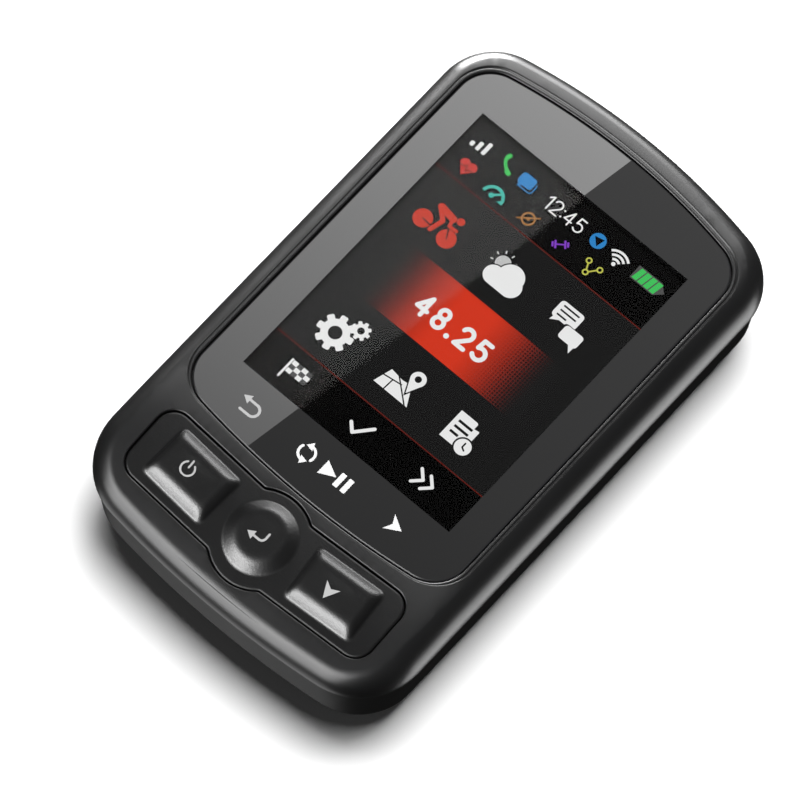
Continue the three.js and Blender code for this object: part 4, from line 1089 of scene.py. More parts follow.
def draw_messages(d, x=9.8, y=7.9):
    d.box(x - 0.85, y + 1.15, 3.7, 2.5, "lit_white", 1, 0.5)
    d.polygon([(x - 2.2, y + 0.2), (x - 1.0, y + 0.1), (x - 2.35, y - 0.75)], "lit_white", 1)
    for h, wide in ((1.85, 2.5), (1.15, 2.5), (0.45, 1.5)):
        d.box(x - 0.85 - (2.5 - wide) / 2, y + h, wide, 0.24, "lit_ground", 2)
    d.box(x + 1.2, y - 0.85, 3.3, 2.2, "lit_ground", 3, 0.5)
    d.box(x + 1.3, y - 0.85, 2.9, 2.0, "lit_white", 4, 0.45)
    d.polygon([(x + 1.5, y - 1.6), (x + 2.5, y - 1.6), (x + 2.45, y - 2.75)], "lit_white", 4)


def draw_gear(d, x, y, radius, teeth, turn):
    r, size = radius * 0.88, radius * 0.42
    for i in range(teeth):
        degrees = 360 * i / teeth + turn
        a = math.radians(degrees)
        at = x + r * math.cos(a), y + r * math.sin(a)
        d.box(*at, size, size, "lit_white", 1, radius * 0.09, degrees)
    d.disc(x, y, radius * 0.82, "lit_white", 2)
    d.disc(x, y, radius * 0.4, "lit_ground", 3)


def draw_map(d, x=-0.5, y=-11.4):
    top = [(x - 2.1, y + 0.45), (x - 0.2, y + 0.2), (x + 1.2, y + 0.4)]
    d.polygon([*top, (x + 2.6, y - 2.2), (x - 2.85, y - 2.2)], "lit_white", 1)
    d.stroke([(x - 0.9, y + 0.4), (x + 2.3, y - 2.3)], 0.18, "lit_ground", 2)
    d.stroke([(x - 2.5, y - 0.75), (x + 0.15, y - 0.35)], 0.18, "lit_ground", 2)
    d.stroke([(x - 1.1, y - 0.55), (x - 1.2, y - 2.3)], 0.18, "lit_ground", 2)
    d.disc(x + 1.25, y + 1.55, 1.28, "lit_ground", 3)
    d.polygon([(x + 0.1, y + 1.2), (x + 2.4, y + 1.2), (x + 1.25, y - 1.3)], "lit_ground", 3)
    d.disc(x + 1.25, y + 1.55, 1.05, "lit_white", 4)
    d.polygon([(x + 0.28, y + 1.2), (x + 2.22, y + 1.2), (x + 1.25, y - 0.85)], "lit_white", 4)
    d.disc(x + 1.25, y + 1.55, 0.45, "lit_ground", 5)


def draw_log(d, x=9.3, y=-11.5):
    top = [(x - 1.85, y + 2.2), (x + 0.75, y + 2.2), (x + 1.75, y + 1.3)]
    d.polygon([*top, (x + 1.75, y - 2.1), (x - 1.85, y - 2.1)], "lit_white", 1)
    d.polygon([(x + 0.95, y + 2.35), (x + 1.9, y + 1.45), (x + 0.95, y + 1.3)], "lit_ground", 2)
    for h, wide in ((0.95, 2.2), (0.1, 2.2), (-0.75, 1.3)):
        d.box(x - 1.15 + wide / 2 - 0.1, y + h, wide, 0.36, "lit_ground", 2)
    d.disc(x + 1.45, y - 1.45, 1.35, "lit_ground", 3)
    d.disc(x + 1.45, y - 1.45, 1.12, "lit_white", 4)
    d.stroke([(x + 1.4, y - 0.85), (x + 1.4, y - 1.5), (x + 1.85, y - 1.75)], 0.22, "lit_ground", 5)


def draw_soft_keys(d):
    y = -19.5
    # a chequered flag, a tick and a double chevron
    d.stroke([(-12.6, y - 1.45), (-12.6, y + 1.35)], 0.3, "lit_white", 1)
    for row in range(3):
        for column in range(4):
            shade = "lit_white" if (row + column) % 2 == 0 else "lit_grey"
            d.box(-12.0 + column * 0.78, y + 1.1 - row * 0.62, 0.78, 0.62, shade, 1)
    d.stroke([(-1.75, y - 0.05), (-0.75, y - 1.05), (1.1, y + 1.1)], 0.46, "lit_white", 1)
    for x in (8.9, 10.4):
        d.stroke([(x, y + 1.1), (x + 1.1, y), (x, y - 1.1)], 0.42, "lit_white", 1)


# ---------------------------------------------------------------------------------------------
# Pieces
# ---------------------------------------------------------------------------------------------


FACE_TAKES = 0.27  # share of the shoulder, next to the face, that is filled along with the face
# that share starts this far above the rim's end, and grows over this length
FACE_TAKES_FROM, FACE_TAKES_OVER = 7, 5
WALL, END_WALL = 2.5, 1.45  # the front shell's wall, and the same at the key end
CEILING = 2.6  # thickness of the front shell's face
SCREEN_ROOM = 2.6  # the opening for the screen is this much longer and wider than the screen
GRID = 1.3  # spacing of the points that carry a curved face


def shoulder_rings(skin, edge, rim, low, steps=16):
    """Rings from the parting edge up and over the rounded shoulder, nearly to the rim."""
    radius = settings().case.droop_radius / MM
    start = min(y for _, y in rim) + FACE_TAKES_FROM
    rings = []
    for k in range(1, steps + 1):
        ring = []
        for (rx, ry), (ex, ey) in zip(rim, edge):
            takes = smooth((ry - start) / FACE_TAKES_OVER)
            a = math.acos(FACE_TAKES * takes) * k / steps
            x, y = rx + (ex - rx) * math.cos(a), ry + (ey - ry) * math.cos(a)
            top = FACE_Z - drop(ry)
            fall = max(0.0, (DROOP_START - ry) / radius)
            height = top - fall * (ry - ey) - low
            z = top - fall * (ry - y) - height * (1 - math.sin(a))
            near = takes * (k / steps) ** 3
            ring += skin.ring([(x, y)], z + (shell_height(x, y) - z) * near)
        rings.append(ring)
    return rings


def make_front_shell():
    case, rim, lens = case_outline(), rim_outline(), lens_outline()
    low = PARTING_Z + 0.05
    edge_z = low + 0.12
    skin = Skin()
    inner = case.inset(WALL, END_WALL).points()
    lip = [skin.ring(inner, PARTING_Z - 0.2)]
    for inset, z in (
        (WALL, PARTING_Z - 0.4),
        (WALL, PARTING_Z - 1.2),
        (1.62, PARTING_Z - 1.2),
        (1.55, PARTING_Z - 1.1),
        (1.55, low),
        (0.12, low),
        (0.03, low + 0.04),
        (0.0, edge_z),
    ):
        lip.append(skin.ring(case.inset(inset).points(), z))
    ceiling = skin.ring(inner, FACE_Z - CEILING)
    skin.run([ceiling, *lip])
    outer = shoulder_rings(skin, case.points(), rim.points(), edge_z)
    skin.run([lip[-1], *outer])

    # around the glass: ledge, pocket wall, raised lip, and a groove that fades out at the keys
    ledge_z = LENS_LOW.z - 0.3
    rings = [skin.ring(lens.inset(-0.15).points(), ledge_z)]
    for off, low_off, sink in POCKET_PROFILE:
        plan = lens.inset(-off, -low_off).points()
        if off > GROOVE_FROM:
            faded = lambda x, y: shell_height(x, y) - sink * smooth((y - GROOVE_START) / GROOVE_FADE)
            rings.append(skin.ring(plan, faded))
        else:
            rings.append(skin.ring(plan, shell_height, -sink))
    for a, b in zip(rings, rings[1:]):
        skin.bridge(b, a)
    hole = pad_rings(skin)
    skin.fill(outer[-1], [rings[-1], hole[-1]], shell_height, GRID)

    cell = CELL_HIGH - CELL_LOW
    cell_y = middle("lcd_cell").y
    window = rounded_box(cell.x + SCREEN_ROOM, cell.y + SCREEN_ROOM, 1, 0, cell_y, 4, 10)
    upper, lower = skin.ring(window, ledge_z), skin.ring(window, FACE_Z - CEILING)
    skin.bridge(upper, lower)
    skin.fill(rings[0], [upper])
    skin.fill(ceiling, [lower, hole[0]], down=True)
    piece = skin.build("front_shell_skin", [MATERIALS["shell_plastic"]])
    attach(piece, "case")
    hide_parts("front_shell")


POCKET_PROFILE = [
    # (out from the glass, the same at the key end, below the face)
    (0.15, 0.15, 0.24),
    (0.17, 0.17, 0.13),
    (0.23, 0.22, 0.05),
    (0.32, 0.28, 0.012),
    (0.4, 0.33, 0.0),
    (0.55, 0.38, 0.0),
    (0.62, 0.4, 0.03),
    (0.66, 0.42, 0.13),
    (0.72, 0.44, 0.15),
    (0.8, 0.46, 0.12),
    (0.88, 0.48, 0.03),
    (0.98, 0.5, 0.0),
    (1.1, 0.53, 0.0),
]
GROOVE_FROM = 0.56  # how far out from the glass the groove begins
GROOVE_START, GROOVE_FADE = LENS_LOW.y - 1, 7  # where it starts to deepen, and over what length


def pad_rings(skin):
    """The wall of the opening that the keypad comes up through, from below to the face."""
    gap = 0.15
    rings = [skin.ring(pad_outline(gap), FACE_Z - CEILING)]
    for more, sink in ((0.0, 0.24), (0.02, 0.13), (0.07, 0.05), (0.14, 0.01), (0.21, 0.0)):
        rings.append(skin.ring(pad_outline(gap + more), shell_height, -sink))
    for low, high in zip(rings, rings[1:]):
        skin.bridge(high, low)
    return rings


BACK_INSET = 0.9  # how far the back stands in from the parting edge
BACK_TAKES = 0.66  # share of the back fillet, next to the back face, that is filled with the face


def back_height(x, y):
    """Height of the back face, and of the fillet where the point is out on it."""
    fillet = settings().case.back_fillet / MM
    share = min(1.0, max(0.0, (BACK_INSET + fillet - case_outline().depth(x, y)) / fillet))
    return BACK_Z + fillet * (1 - math.sqrt(1 - share**2))


MOUTH = 0.5  # less deep than this, a hole's rings follow the curve of the back


def bore(skin, x, y, profile, steps=40):
    """A hole through the back, from (radius, how far in) pairs, innermost first."""
    rings = []
    for radius, deep in profile:
        base = back_height if deep < MOUTH else BACK_Z
        rings.append(skin.ring(circle(x, y, radius, steps), base, deep))
    skin.run(rings)
    return rings[0], rings[-1]


SCREWS = [f"case_screw_{end}_{side}" for end in ("top", "bottom") for side in ("left", "right")]
BACK_Z = box_mm("port_cover")[0].z - 0.05
PORT_Y = middle("port_cover").y
FLOOR = 1.6  # thickness of the back
SHELF = 4.8  # the same around the screws


def battery_well():
    """Plan of the deep part of the rear shell, clear of the four screws."""
    top, bottom = middle(SCREWS[0]).y - 3.2, middle(SCREWS[2]).y + 3.2
    wide, narrow = 19.0, middle(SCREWS[3]).x - 3.2
    right = [(narrow, PORT_Y - 4.1), (narrow, bottom), (wide, bottom), (wide, top)]
    return right + [(-x, y) for x, y in reversed(right)]


def make_rear_shell():
    case = case_outline()
    fillet = settings().case.back_fillet / MM
    low, parting = BACK_Z, PARTING_Z - 0.05
    start = math.asin(BACK_TAKES)
    skin = Skin()
    rings = []
    for i in range(13):
        a = start + (math.pi / 2 - start) * i / 12
        inset, z = BACK_INSET + fillet * (1 - math.sin(a)), low + fillet * (1 - math.cos(a))
        rings.append(skin.ring(case.inset(inset).points(), z))
    for i in range(1, 7):
        t = i / 6
        inset = BACK_INSET + (0.35 - BACK_INSET) * t
        z = low + fillet + (parting - 0.1 - low - fillet) * t
        rings.append(skin.ring(case.inset(inset).points(), z))
    groove = parting - 2.4
    inner = [(0.38, parting - 0.03), (0.47, parting), (1.4, parting), (1.45, groove)]
    inner += [(2.9, groove), (2.9, low + SHELF)]
    rings += [skin.ring(case.inset(inset).points(), z) for inset, z in inner]
    skin.run(rings)

    on_back, on_shelf, on_floor = [], [], []
    for name in SCREWS:
        at = middle(name)
        profile = [(0.95, SHELF), (0.95, 3.0), (2.2, 3.0), (2.2, 0.2), (2.26, 0.07), (2.4, 0.0)]
        inside_end, back_end = bore(skin, at.x, at.y, profile)
        on_shelf.append(inside_end)
        on_back.append(back_end)
    vent = middle("vent_membrane")
    profile = [(0.6, FLOOR), (0.6, 0.12), (0.64, 0.04), (0.72, 0.0)]
    inside_end, back_end = bore(skin, vent.x, vent.y, profile, 24)
    on_floor.append(inside_end)
    on_back += [back_end, mount_boss(skin, low)]
    recess, port, stem = port_recess(skin, low)
    on_back.append(recess)
    on_floor += [port, stem]

    well = [skin.ring(battery_well(), low + z) for z in (SHELF, FLOOR)]
    skin.run(well)
    skin.fill(rings[-1], [well[0], *on_shelf])
    skin.fill(well[1], on_floor)
    skin.fill(rings[0], on_back, back_height, GRID)
    piece = skin.build("rear_shell_skin", [MATERIALS["shell_plastic"]], sharp=32)
    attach(piece, "case")
    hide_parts("rear_shell")


def port_recess(skin, low):
    """The recess that the port cover lies in, with the port and the anchor's hole in its floor."""
    left = box_mm("port_cover_anchor")[0].x - 0.3
    right = box_mm("port_cover")[1].x + 0.3
    width = box_mm("port_cover")[1].y - box_mm("port_cover")[0].y + 0.4
    floor = low + 1.05
    recess = port_plan(right - left, width, 2, (left + right) / 2, 8, 6)
    opening = port_plan(9.8, 4, 1.9, 0, 8, 4)
    walls = [(0.26, low), (0.12, low + 0.05), (0.03, low + 0.16), (0, low + 0.32), (0, floor)]
    rings = [skin.ring(recess(grow), z) for grow, z in walls]
    skin.run(rings)
    steps = [(0.15, floor), (0, floor + 0.15), (0, low + 2.6), (1.0, low + 2.6), (1.0, low + FLOOR)]
    port = [skin.ring(opening(grow), z) for grow, z in steps]
    skin.run(port)
    anchor = middle("port_cover_anchor")
    stem = [skin.ring(circle(anchor.x, PORT_Y, 1.0, 24), z) for z in (floor, low + FLOOR)]
    skin.run(stem)
    skin.fill(rings[-1], [port[0], stem[0]])
    return rings[0], port[-1], stem[-1]


BOSS_Y = 2.0
LUG, NECK = 15.3, 12.2  # radii of the mount's lugs and of its neck


def lug_radius(angle, lug, neck, half, corner):
    """Radius of the mount's outline at an angle, with rounded corners on its two lugs."""
    off = abs((angle + 90) % 180 - 90)
    if off >= half:
        return neck
    t = min(1.0, (half - off) / corner)
    return neck + (lug - neck) * math.sqrt(1 - (1 - t) ** 2)


def mount_boss(skin, low):
    """The quarter-turn mount: two lugs on a neck, a shallow recess and a detent in each lug."""
    half, corner, steps = 26.0, 4.5, 240

    def outline(lug, neck, shift=0.0):
        ring = []
        for i in range(steps):
            angle = 360 * i / steps
            r = lug_radius(angle, lug, neck, half, corner) + shift
            off = abs((angle + 90) % 180 - 90)
            if lug > neck and off < 4.0:
                r = min(r, lug - 0.75 * math.sqrt(max(0.0, 1 - (off / 3.4) ** 2)) + shift)
            a = math.radians(angle)
            ring.append((r * math.cos(a), BOSS_Y + r * math.sin(a)))
        return ring

    inner = [(8.2, 1.2), (8.5, 1.05), (8.5, 0.25), (8.57, 0.08), (8.75, 0.0)]
    rings = [skin.ring(circle(0, BOSS_Y, r, steps), z) for r, z in inner]
    lugs = [(-0.5, 0), (-0.2, 0.04), (-0.06, 0.14), (0, 0.34), (0, 1.6), (-0.06, 1.8), (-0.25, 1.9)]
    rings += [skin.ring(outline(LUG, NECK, shift), z) for shift, z in lugs]
    neck = [(0.02, 1.93), (0, 2.3), (0, low - 0.5)]
    neck += [(0.07, low - 0.25), (0.25, low - 0.07), (0.5, low)]
    rings += [skin.ring(circle(0, BOSS_Y, NECK + grow, steps), z) for grow, z in neck]
    for a, b in zip(rings, rings[1:]):
        skin.bridge(b, a)
    recess_floor(skin, rings[0], 1.2)
    return rings[-1]


def recess_floor(skin, ring, z):
    """The recess's floor, with a raised ring and a dimple in its middle."""
    profile = [(6.4, 0), (6.3, -0.05), (6.2, -0.25), (6.0, -0.3), (5.2, -0.3)]
    profile += [(5.0, -0.25), (4.9, -0.05), (4.8, 0), (1.5, 0), (1.3, 0.3)]
    rings = [skin.ring(circle(0, BOSS_Y, r, len(ring)), z, lift) for r, lift in profile]
    skin.run([ring, *rings])
    skin.fan(rings[-1], (0, BOSS_Y, z + 0.32), down=True)


def make_screws():
    """Case and board screws: a pan head with a six-lobed socket on a threaded shank."""
    for name in (*SCREWS, "board_screw_left", "board_screw_right"):
        low, high = box_mm(name)
        x, y = (low.x + high.x) / 2, (low.y + high.y) / 2
        head = (high.x - low.x) / 2
        case_screw = name in SCREWS
        shank = 0.95 if case_screw else 0.75
        tall = 1.3 if case_screw else 0.9
        seat = low.z + tall
        skin = Skin()
        steps = 60

        def lobes(r, depth):
            plan = []
            for i in range(steps):
                a = 2 * math.pi * i / steps
                out = r * (1 + depth * math.cos(6 * a))
                plan.append((x + out * math.cos(a), y + out * math.sin(a)))
            return plan

        share = head / 1.9
        sides = [(0.3, 0.1, 0.75), (0.8 * share, 0.14, 0.7)]
        sides += [(0.82 * share, 0.14, 0.1), (0.9 * share, 0.12, 0)]
        socket = [skin.ring(lobes(r, depth), low.z, deep) for r, depth, deep in sides]
        skin.fan(socket[0], (x, y, low.z + 0.76), down=True)
        body = [(head - 0.3, low.z), (head - 0.08, low.z + 0.1), (head, low.z + 0.32)]
        body += [(head, seat - 0.05), (head - 0.05, seat), (shank, seat)]
        z, tip = seat + 0.2, high.z - 0.6
        while z < tip:
            body += [(shank, z), (shank * 0.82, z + 0.2)]
            z += 0.4
        body.append((shank * 0.7, high.z - 0.2))
        outer = [skin.ring(circle(x, y, r, steps), h) for r, h in body]
        skin.run([*socket, *outer])
        skin.fan(outer[-1], (x, y, high.z))
        piece = skin.build(f"{name}_turned", [MATERIALS["screw_steel"]])
        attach(piece, "case")
        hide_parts(name)


def make_lens():
    g = settings().glass
    lens = lens_outline()
    chamfer = g.chamfer / MM
    low, high = LENS_LOW.z, LENS_HIGH.z
    skin = Skin()
    sides = [(chamfer * 0.6, low), (0.0, low + chamfer * 0.6), (0.0, high - chamfer)]
    sides += [(chamfer * 0.35, high - chamfer * 0.4), (chamfer, high)]
    rings = [skin.ring(lens.inset(off).points(), z) for off, z in sides]
    skin.run(rings, slot=2)
    width, tall = g.window_width / MM, g.window_length / MM
    y = middle_of_window()
    for ring, z, down in ((rings[0], low, True), (rings[-1], high, False)):
        window = rounded_box(width, tall, 0.05, 0, y, 1, 8)
        hole = skin.ring(window, z)
        skin.fill(ring, [hole], slot=0, down=down)
        skin.fill(hole, [], slot=1, down=down)
    finishes = [MATERIALS[name] for name in ("glass_border", "window_glass", "glass_edge")]
    piece = skin.build("cover_glass", finishes, sharp=20)
    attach(piece, "case")
    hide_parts("lens")


def middle_of_window():
    return (LENS_LOW.y + LENS_HIGH.y) / 2 + 0.4


def make_glass_print():
    """The symbols printed below the window: back, lap, start and stop, and next."""
    y0 = middle_of_window()
    d = Drawing(lambda x, y: LENS_HIGH.z + 0.006, lambda x, y: (x, y + y0))
    name = "glass_print"
    y = -26.4
    bend = arc(-11.7, y - 0.2, 0.85, -90, 90, 16)
    d.stroke([(-13.1, y - 1.05), *bend, (-13.0, y + 0.65)], 0.36, "key_symbol")
    d.arrowhead(-13.9, y + 0.65, 1.05, 180, "key_symbol", 1)
    for turn in (0, 180):
        d.stroke(arc(-3.0, y, 1.1, turn - 26, turn + 96, 20), 0.36, name)
        a = math.radians(turn + 132)
        d.arrowhead(-3.0 + 1.12 * math.cos(a), y + 1.12 * math.sin(a), 0.95, turn + 200, name, 1)
    d.polygon([(-0.35, y - 1.1), (-0.35, y + 1.1), (1.85, y)], name)
    for x in (2.4, 3.6):
        d.box(x, y, 0.72, 2.1, name, 0, 0.12)
    d.polygon([(12.55, y), (10.45, y + 1.2), (11.05, y), (10.45, y - 1.2)], name)
    piece = d.build("glass_symbols")
    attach(piece, "case")


def make_screen():
    """The lit picture: bars, band, icons and numbers, on the top of the liquid crystal cell."""
    y0 = middle_of_window()
    # the glass bends the view, so the picture sits a little up and to the left of the window
    shift_x, shift_y = -0.25, 0.34
    top = CELL_HIGH.z + 0.012
    d = Drawing(lambda x, y: top, lambda x, y: (x + shift_x, y + y0 + shift_y))
    wide, edge = 35.4, 24.0
    upper, lower = 13.6, -16.3  # the two bars end at these heights
    for low, high, name in (
        (lower, upper, "lit_ground"),
        (upper, edge, "lit_black"),
        (-edge, lower, "lit_black"),
    ):
        d.box(0, (low + high) / 2, wide, high - low, name)
    for y in (upper, lower):
        d.box(0, y, wide, 0.16, "lit_line", 1)
    d.box(0, -1.45, 27.0, 9.5, "lit_band", 1)
    draw_status_row(d)
    draw_sensor_row(d)
    draw_rider(d)
    draw_weather(d)
    draw_messages(d)
    d.digits("48.25", -6.3, -3.45, 3.3, 0.6, "lit_white", 3, 0.16)
    draw_gear(d, -11.1, -12.0, 2.3, 8, 10)
    draw_gear(d, -8.85, -9.7, 1.2, 8, 0)
    draw_map(d)
    draw_log(d)
    draw_soft_keys(d)
    piece = d.build("screen_picture")
    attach(piece, "case")


def make_keypad():
    """The rubber pad between the keys, with a rounded edge and a flange under the shell."""
    skin = Skin()
    edge = 0.32
    flange_z = PAD_LOW.z
    flange = ((0.85, 0.0), (0.85, 0.7), (0.0, 0.7))
    rings = [skin.ring(pad_outline(grow), flange_z, lift) for grow, lift in flange]
    for i in range(6):
        a = math.pi / 2 * i / 5
        inset, low = edge * (1 - math.cos(a)), edge * (1 - math.sin(a))
        rings.append(skin.ring(pad_outline(-inset), pad_height, -low))
    rings.append(skin.ring(pad_outline(-edge - 0.1), pad_height))
    skin.run(rings)
    holes = []
    under = []
    for _, plan in key_plans():
        foot = plan(FOOT)
        wall = [
            skin.ring(foot, pad_height),
            skin.ring(foot, pad_height, -0.5),
            skin.ring(foot, flange_z),
        ]
        skin.run(wall)
        holes.append(wall[0])
        under.append(wall[-1])
    skin.fill(rings[-1], holes, pad_height, 0.9)
    skin.fill(rings[0], under, down=True)
    piece = skin.build("keypad_rubber", [MATERIALS["key_rubber"]])
    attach(piece, "case")
    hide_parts("keypad")


FOOT = 0.3  # the keys' concave foot reaches this far out over the pad
KEY_CORNER = 0.8
DISH, DISH_X, DISH_Y = 0.16, 3.4, 1.6  # depth of a side key's dish, as a share of its rise, and reach


def key_plans():
    """Each key's name and a function that gives its outline, grown outwards."""
    k = settings().keys
    width, height, radius = k.width / MM, k.height / MM, k.radius / MM
    side = middle("down_key")

    def rectangle(sign):
        def plan(grow, grow_y=None):
            wide, tall = width + 2 * grow, height + 2 * (grow if grow_y is None else grow_y)
            corner = max(0.12, KEY_CORNER + min(grow, 0.0) * 0.1)
            return rounded_box(wide, tall, corner, sign * side.x, side.y, 4, 12, sign * k.turn)

        return plan

    def disc(grow):
        return circle(0, KEY_ROW_Y, radius + grow, 72)

    return [("power_key", rectangle(-1)), ("enter_key", disc), ("down_key", rectangle(1))]


SIDE_PROFILE = [
    # (grown in x, grown in y, share of the rise)
    (0.3, 0.3, 0.0),
    (0.2, 0.16, 0.015),
    (0.06, 0.03, 0.07),
    (-0.03, -0.1, 0.17),
    (-0.14, -0.3, 0.33),
    (-0.35, -0.62, 0.56),
    (-0.6, -0.95, 0.76),
    (-0.82, -1.22, 0.89),
    (-1.02, -1.45, 0.955),
    (-1.22, -1.68, 0.99),
    (-1.45, -1.92, 1.0),
    (-1.7, -2.15, 0.99),
]
ROUND_PROFILE = [
    # (grown, share of the rise)
    (0.3, 0.0),
    (0.2, 0.015),
    (0.08, 0.06),
    (-0.05, 0.14),
    (-0.2, 0.24),
    (-0.6, 0.5),
    (-1.0, 0.74),
    (-1.25, 0.865),
    (-1.5, 0.95),
    (-1.75, 0.99),
    (-2.0, 1.0),
    (-2.4, 0.98),
    (-2.9, 0.93),
    (-3.5, 0.88),
    (-4.0, 0.86),
]


def key_top(name):
    """Height of a key's dished top at a point, in the case's frame."""
    rise = settings().keys.rise / MM
    at = middle(name)

    def height(x, y):
        if name == "enter_key":
            r = math.hypot(x, y - KEY_ROW_Y)
            inward = r - settings().keys.radius / MM
            share = ROUND_PROFILE[-1][1]
            for (a, high), (b, low) in zip(ROUND_PROFILE, ROUND_PROFILE[1:]):
                if a >= inward >= b:
                    share = high + (low - high) * (inward - a) / (b - a)
            return pad_height(x, y) + rise * share
        u, v = (x - at.x) / DISH_X, (y - at.y) / DISH_Y
        dish = max(0.0, 1 - u * u) * max(0.0, 1 - v * v)
        return pad_height(x, y) + rise * (SIDE_PROFILE[-1][2] - DISH * dish)

    return height


def make_keys():
    """The three keys: a skin raised from the pad, a plunger, a symbol and a snap dome."""
    rise = settings().keys.rise / MM
    for name, plan in key_plans():
        at = middle(name)
        skin = Skin()
        profile = ROUND_PROFILE if name == "enter_key" else SIDE_PROFILE
        rings = [skin.ring(plan(*grow), pad_height, rise * share) for *grow, share in profile]
        skin.run(rings)
        skin.fill(rings[-1], [], key_top(name), 0.5)
        piece = skin.build(f"{name}_skin", [MATERIALS["key_rubber"]], sharp=50)
        foot = Vector((at.x, KEY_ROW_Y if name == "enter_key" else at.y, 0))
        foot.z = pad_height(foot.x, foot.y)
        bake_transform(piece)
        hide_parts(name)
        make_plunger(name, foot, rise)
        make_key_symbol(name)
        make_dome(name)


def make_plunger(name, foot, rise):
    """The stem under a key, which presses its snap dome."""
    low = box_mm(name)[0].z
    top = foot.z - 0.1
    skin = Skin()
    profile = [(0, low), (1.3, low), (1.5, low + 0.15), (1.5, low + 1.5), (1.7, low + 1.7)]
    profile += [(2.1, low + 1.8), (2.2, top - 0.1), (2.1, top), (0, top)]
    lathe(skin, profile, foot.x, foot.y, 40)
    piece = skin.build(f"{name}_plunger", [MATERIALS["key_rubber"]])
    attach(piece, name)


def make_key_symbol(name):
    top = key_top(name)
    d = Drawing(lambda x, y: top(x, y) + 0.012)
    ink = "key_symbol"
    if name == "power_key":
        x, y = -12.45, KEY_ROW_Y + 0.6
        d.hoop(x, y - 0.12, 0.92, 0.26, 128, 412, ink, steps=36, caps=True)
        d.stroke([(x, y + 0.1), (x, y + 1.05)], 0.26, ink)
    elif name == "enter_key":
        x, y = -0.15, KEY_ROW_Y - 0.15
        bend = arc(x + 0.35, y + 0.2, 0.65, -90, 0, 8)
        d.stroke([(x - 0.75, y - 0.45), (x + 0.35, y - 0.45), *bend, (x + 1.0, y + 0.85)], 0.3, ink)
        d.arrowhead(x - 1.5, y - 0.45, 1.0, 180, ink)
    else:
        x, y = 11.15, KEY_ROW_Y - 0.05
        d.polygon([(x, y - 1.1), (x + 1.1, y + 1.0), (x, y + 0.45), (x - 1.1, y + 1.0)], ink)
    piece = d.build(f"{name}_symbol")
    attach(piece, name)


def make_dome(name):
    """A sprung disc, turned as a shallow dome."""
    node_name = name.replace("_key", "_snap_dome")
    low, high = box_mm(node_name)
    at = (low + high) / 2
    radius, skin = (high.x - low.x) / 2, Skin()
    outer, inner = [], []
    tall = high.z - low.z
    for i in range(9):
        a = math.pi / 2 * i / 8
        outer.append((radius * math.cos(a), low.z + 0.08 + (tall - 0.08) * math.sin(a)))
        inner.append(((radius - 0.12) * math.cos(a), low.z + (tall - 0.1) * math.sin(a)))
    profile = [(0.0, inner[-1][1])] + inner[-2::-1] + outer[:-1] + [(0.0, outer[-1][1])]
    lathe(skin, profile, at.x, at.y, 40)
    piece = skin.build(f"{node_name}_disc", [MATERIALS["spring_steel"]])
    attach(piece, "case")
    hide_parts(node_name)
    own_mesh(piece)


def port_plan(width, height, corner, x, steps, side):
    """A function that gives a rounded box in line with the port, grown outwards."""

    def plan(grow):
        wide, tall = width + 2 * grow, height + 2 * grow
        return rounded_box(wide, tall, corner + grow, x, PORT_Y, steps, side)

    return plan


def make_port_cover():
    """The rubber flap with its plug, grip ridge and thin hinge, and the anchor that holds it."""
    low, high = box_mm("port_cover")
    x, width, tall = (low.x + high.x) / 2, high.x - low.x, high.y - low.y
    top = low.z + 0.9

    skin = Skin()
    slab(skin, port_plan(width, tall, 1.6, x, 8, 6), low.z, top, 0.18)
    slab(skin, port_plan(8.4, 2.8, 1.3, 0, 8, 4), top - 0.15, high.z, 0.2)
    piece = skin.build("port_cover_flap", [MATERIALS["key_rubber"]])
    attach(piece, "port_cover")
    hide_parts("port_cover")

    for i, grip_x in enumerate((high.x - 2.6, high.x - 1.8, high.x - 1.0)):
        skin = Skin()
        slab(skin, port_plan(0.36, 3.4, 0.17, grip_x, 6, 4), low.z - 0.04, low.z + 0.2, 0.12)
        grip = skin.build(f"port_cover_grip_{i + 1}", [MATERIALS["key_rubber"]])
        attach(grip, "port_cover")

    a_low, a_high = box_mm("port_cover_anchor")
    at = (a_low + a_high) / 2
    skin = Skin()
    tab = port_plan(a_high.x - a_low.x, a_high.y - a_low.y, 1, at.x, 6, 4)
    slab(skin, tab, a_low.z, a_low.z + 0.9, 0.18)
    tip = a_high.z
    profile = [(0.0, top - 0.1), (0.9, top - 0.1), (0.9, tip - 1.05), (1.33, tip - 1.0)]
    profile += [(1.35, tip - 0.9), (0.7, tip - 0.3), (0.5, tip), (0.0, tip)]
    lathe(skin, profile, at.x, PORT_Y, 32)
    anchor = skin.build("port_cover_tab", [MATERIALS["key_rubber"]])
    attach(anchor, "case")
    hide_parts("port_cover_anchor")

    skin = Skin()
    start, end = a_high.x - 0.25, low.x + 0.25
    rows = []
    for i in range(15):
        px = start + (end - start) * i / 14
        ends = [(px, PORT_Y - 2.6), (px, PORT_Y + 2.6)]
        rows.append([skin.ring(ends, low.z + up) for up in (0.04, 0.3)])
    for first, second in zip(rows, rows[1:]):
        skin.face((first[0][0], first[0][1], second[0][1], second[0][0]))
        skin.face((first[1][1], first[1][0], second[1][0], second[1][1]))
        for side in (0, 1):
            corners = (first[0][side], second[0][side], second[1][side], first[1][side])
            skin.face(corners if side == 0 else corners[::-1])
    for row, flip in ((rows[0], False), (rows[-1], True)):
        corners = (row[0][0], row[1][0], row[1][1], row[0][1])
        skin.face(corners[::-1] if flip else corners)
    web = skin.build("port_cover_web", [MATERIALS["key_rubber"]])
    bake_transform(web)


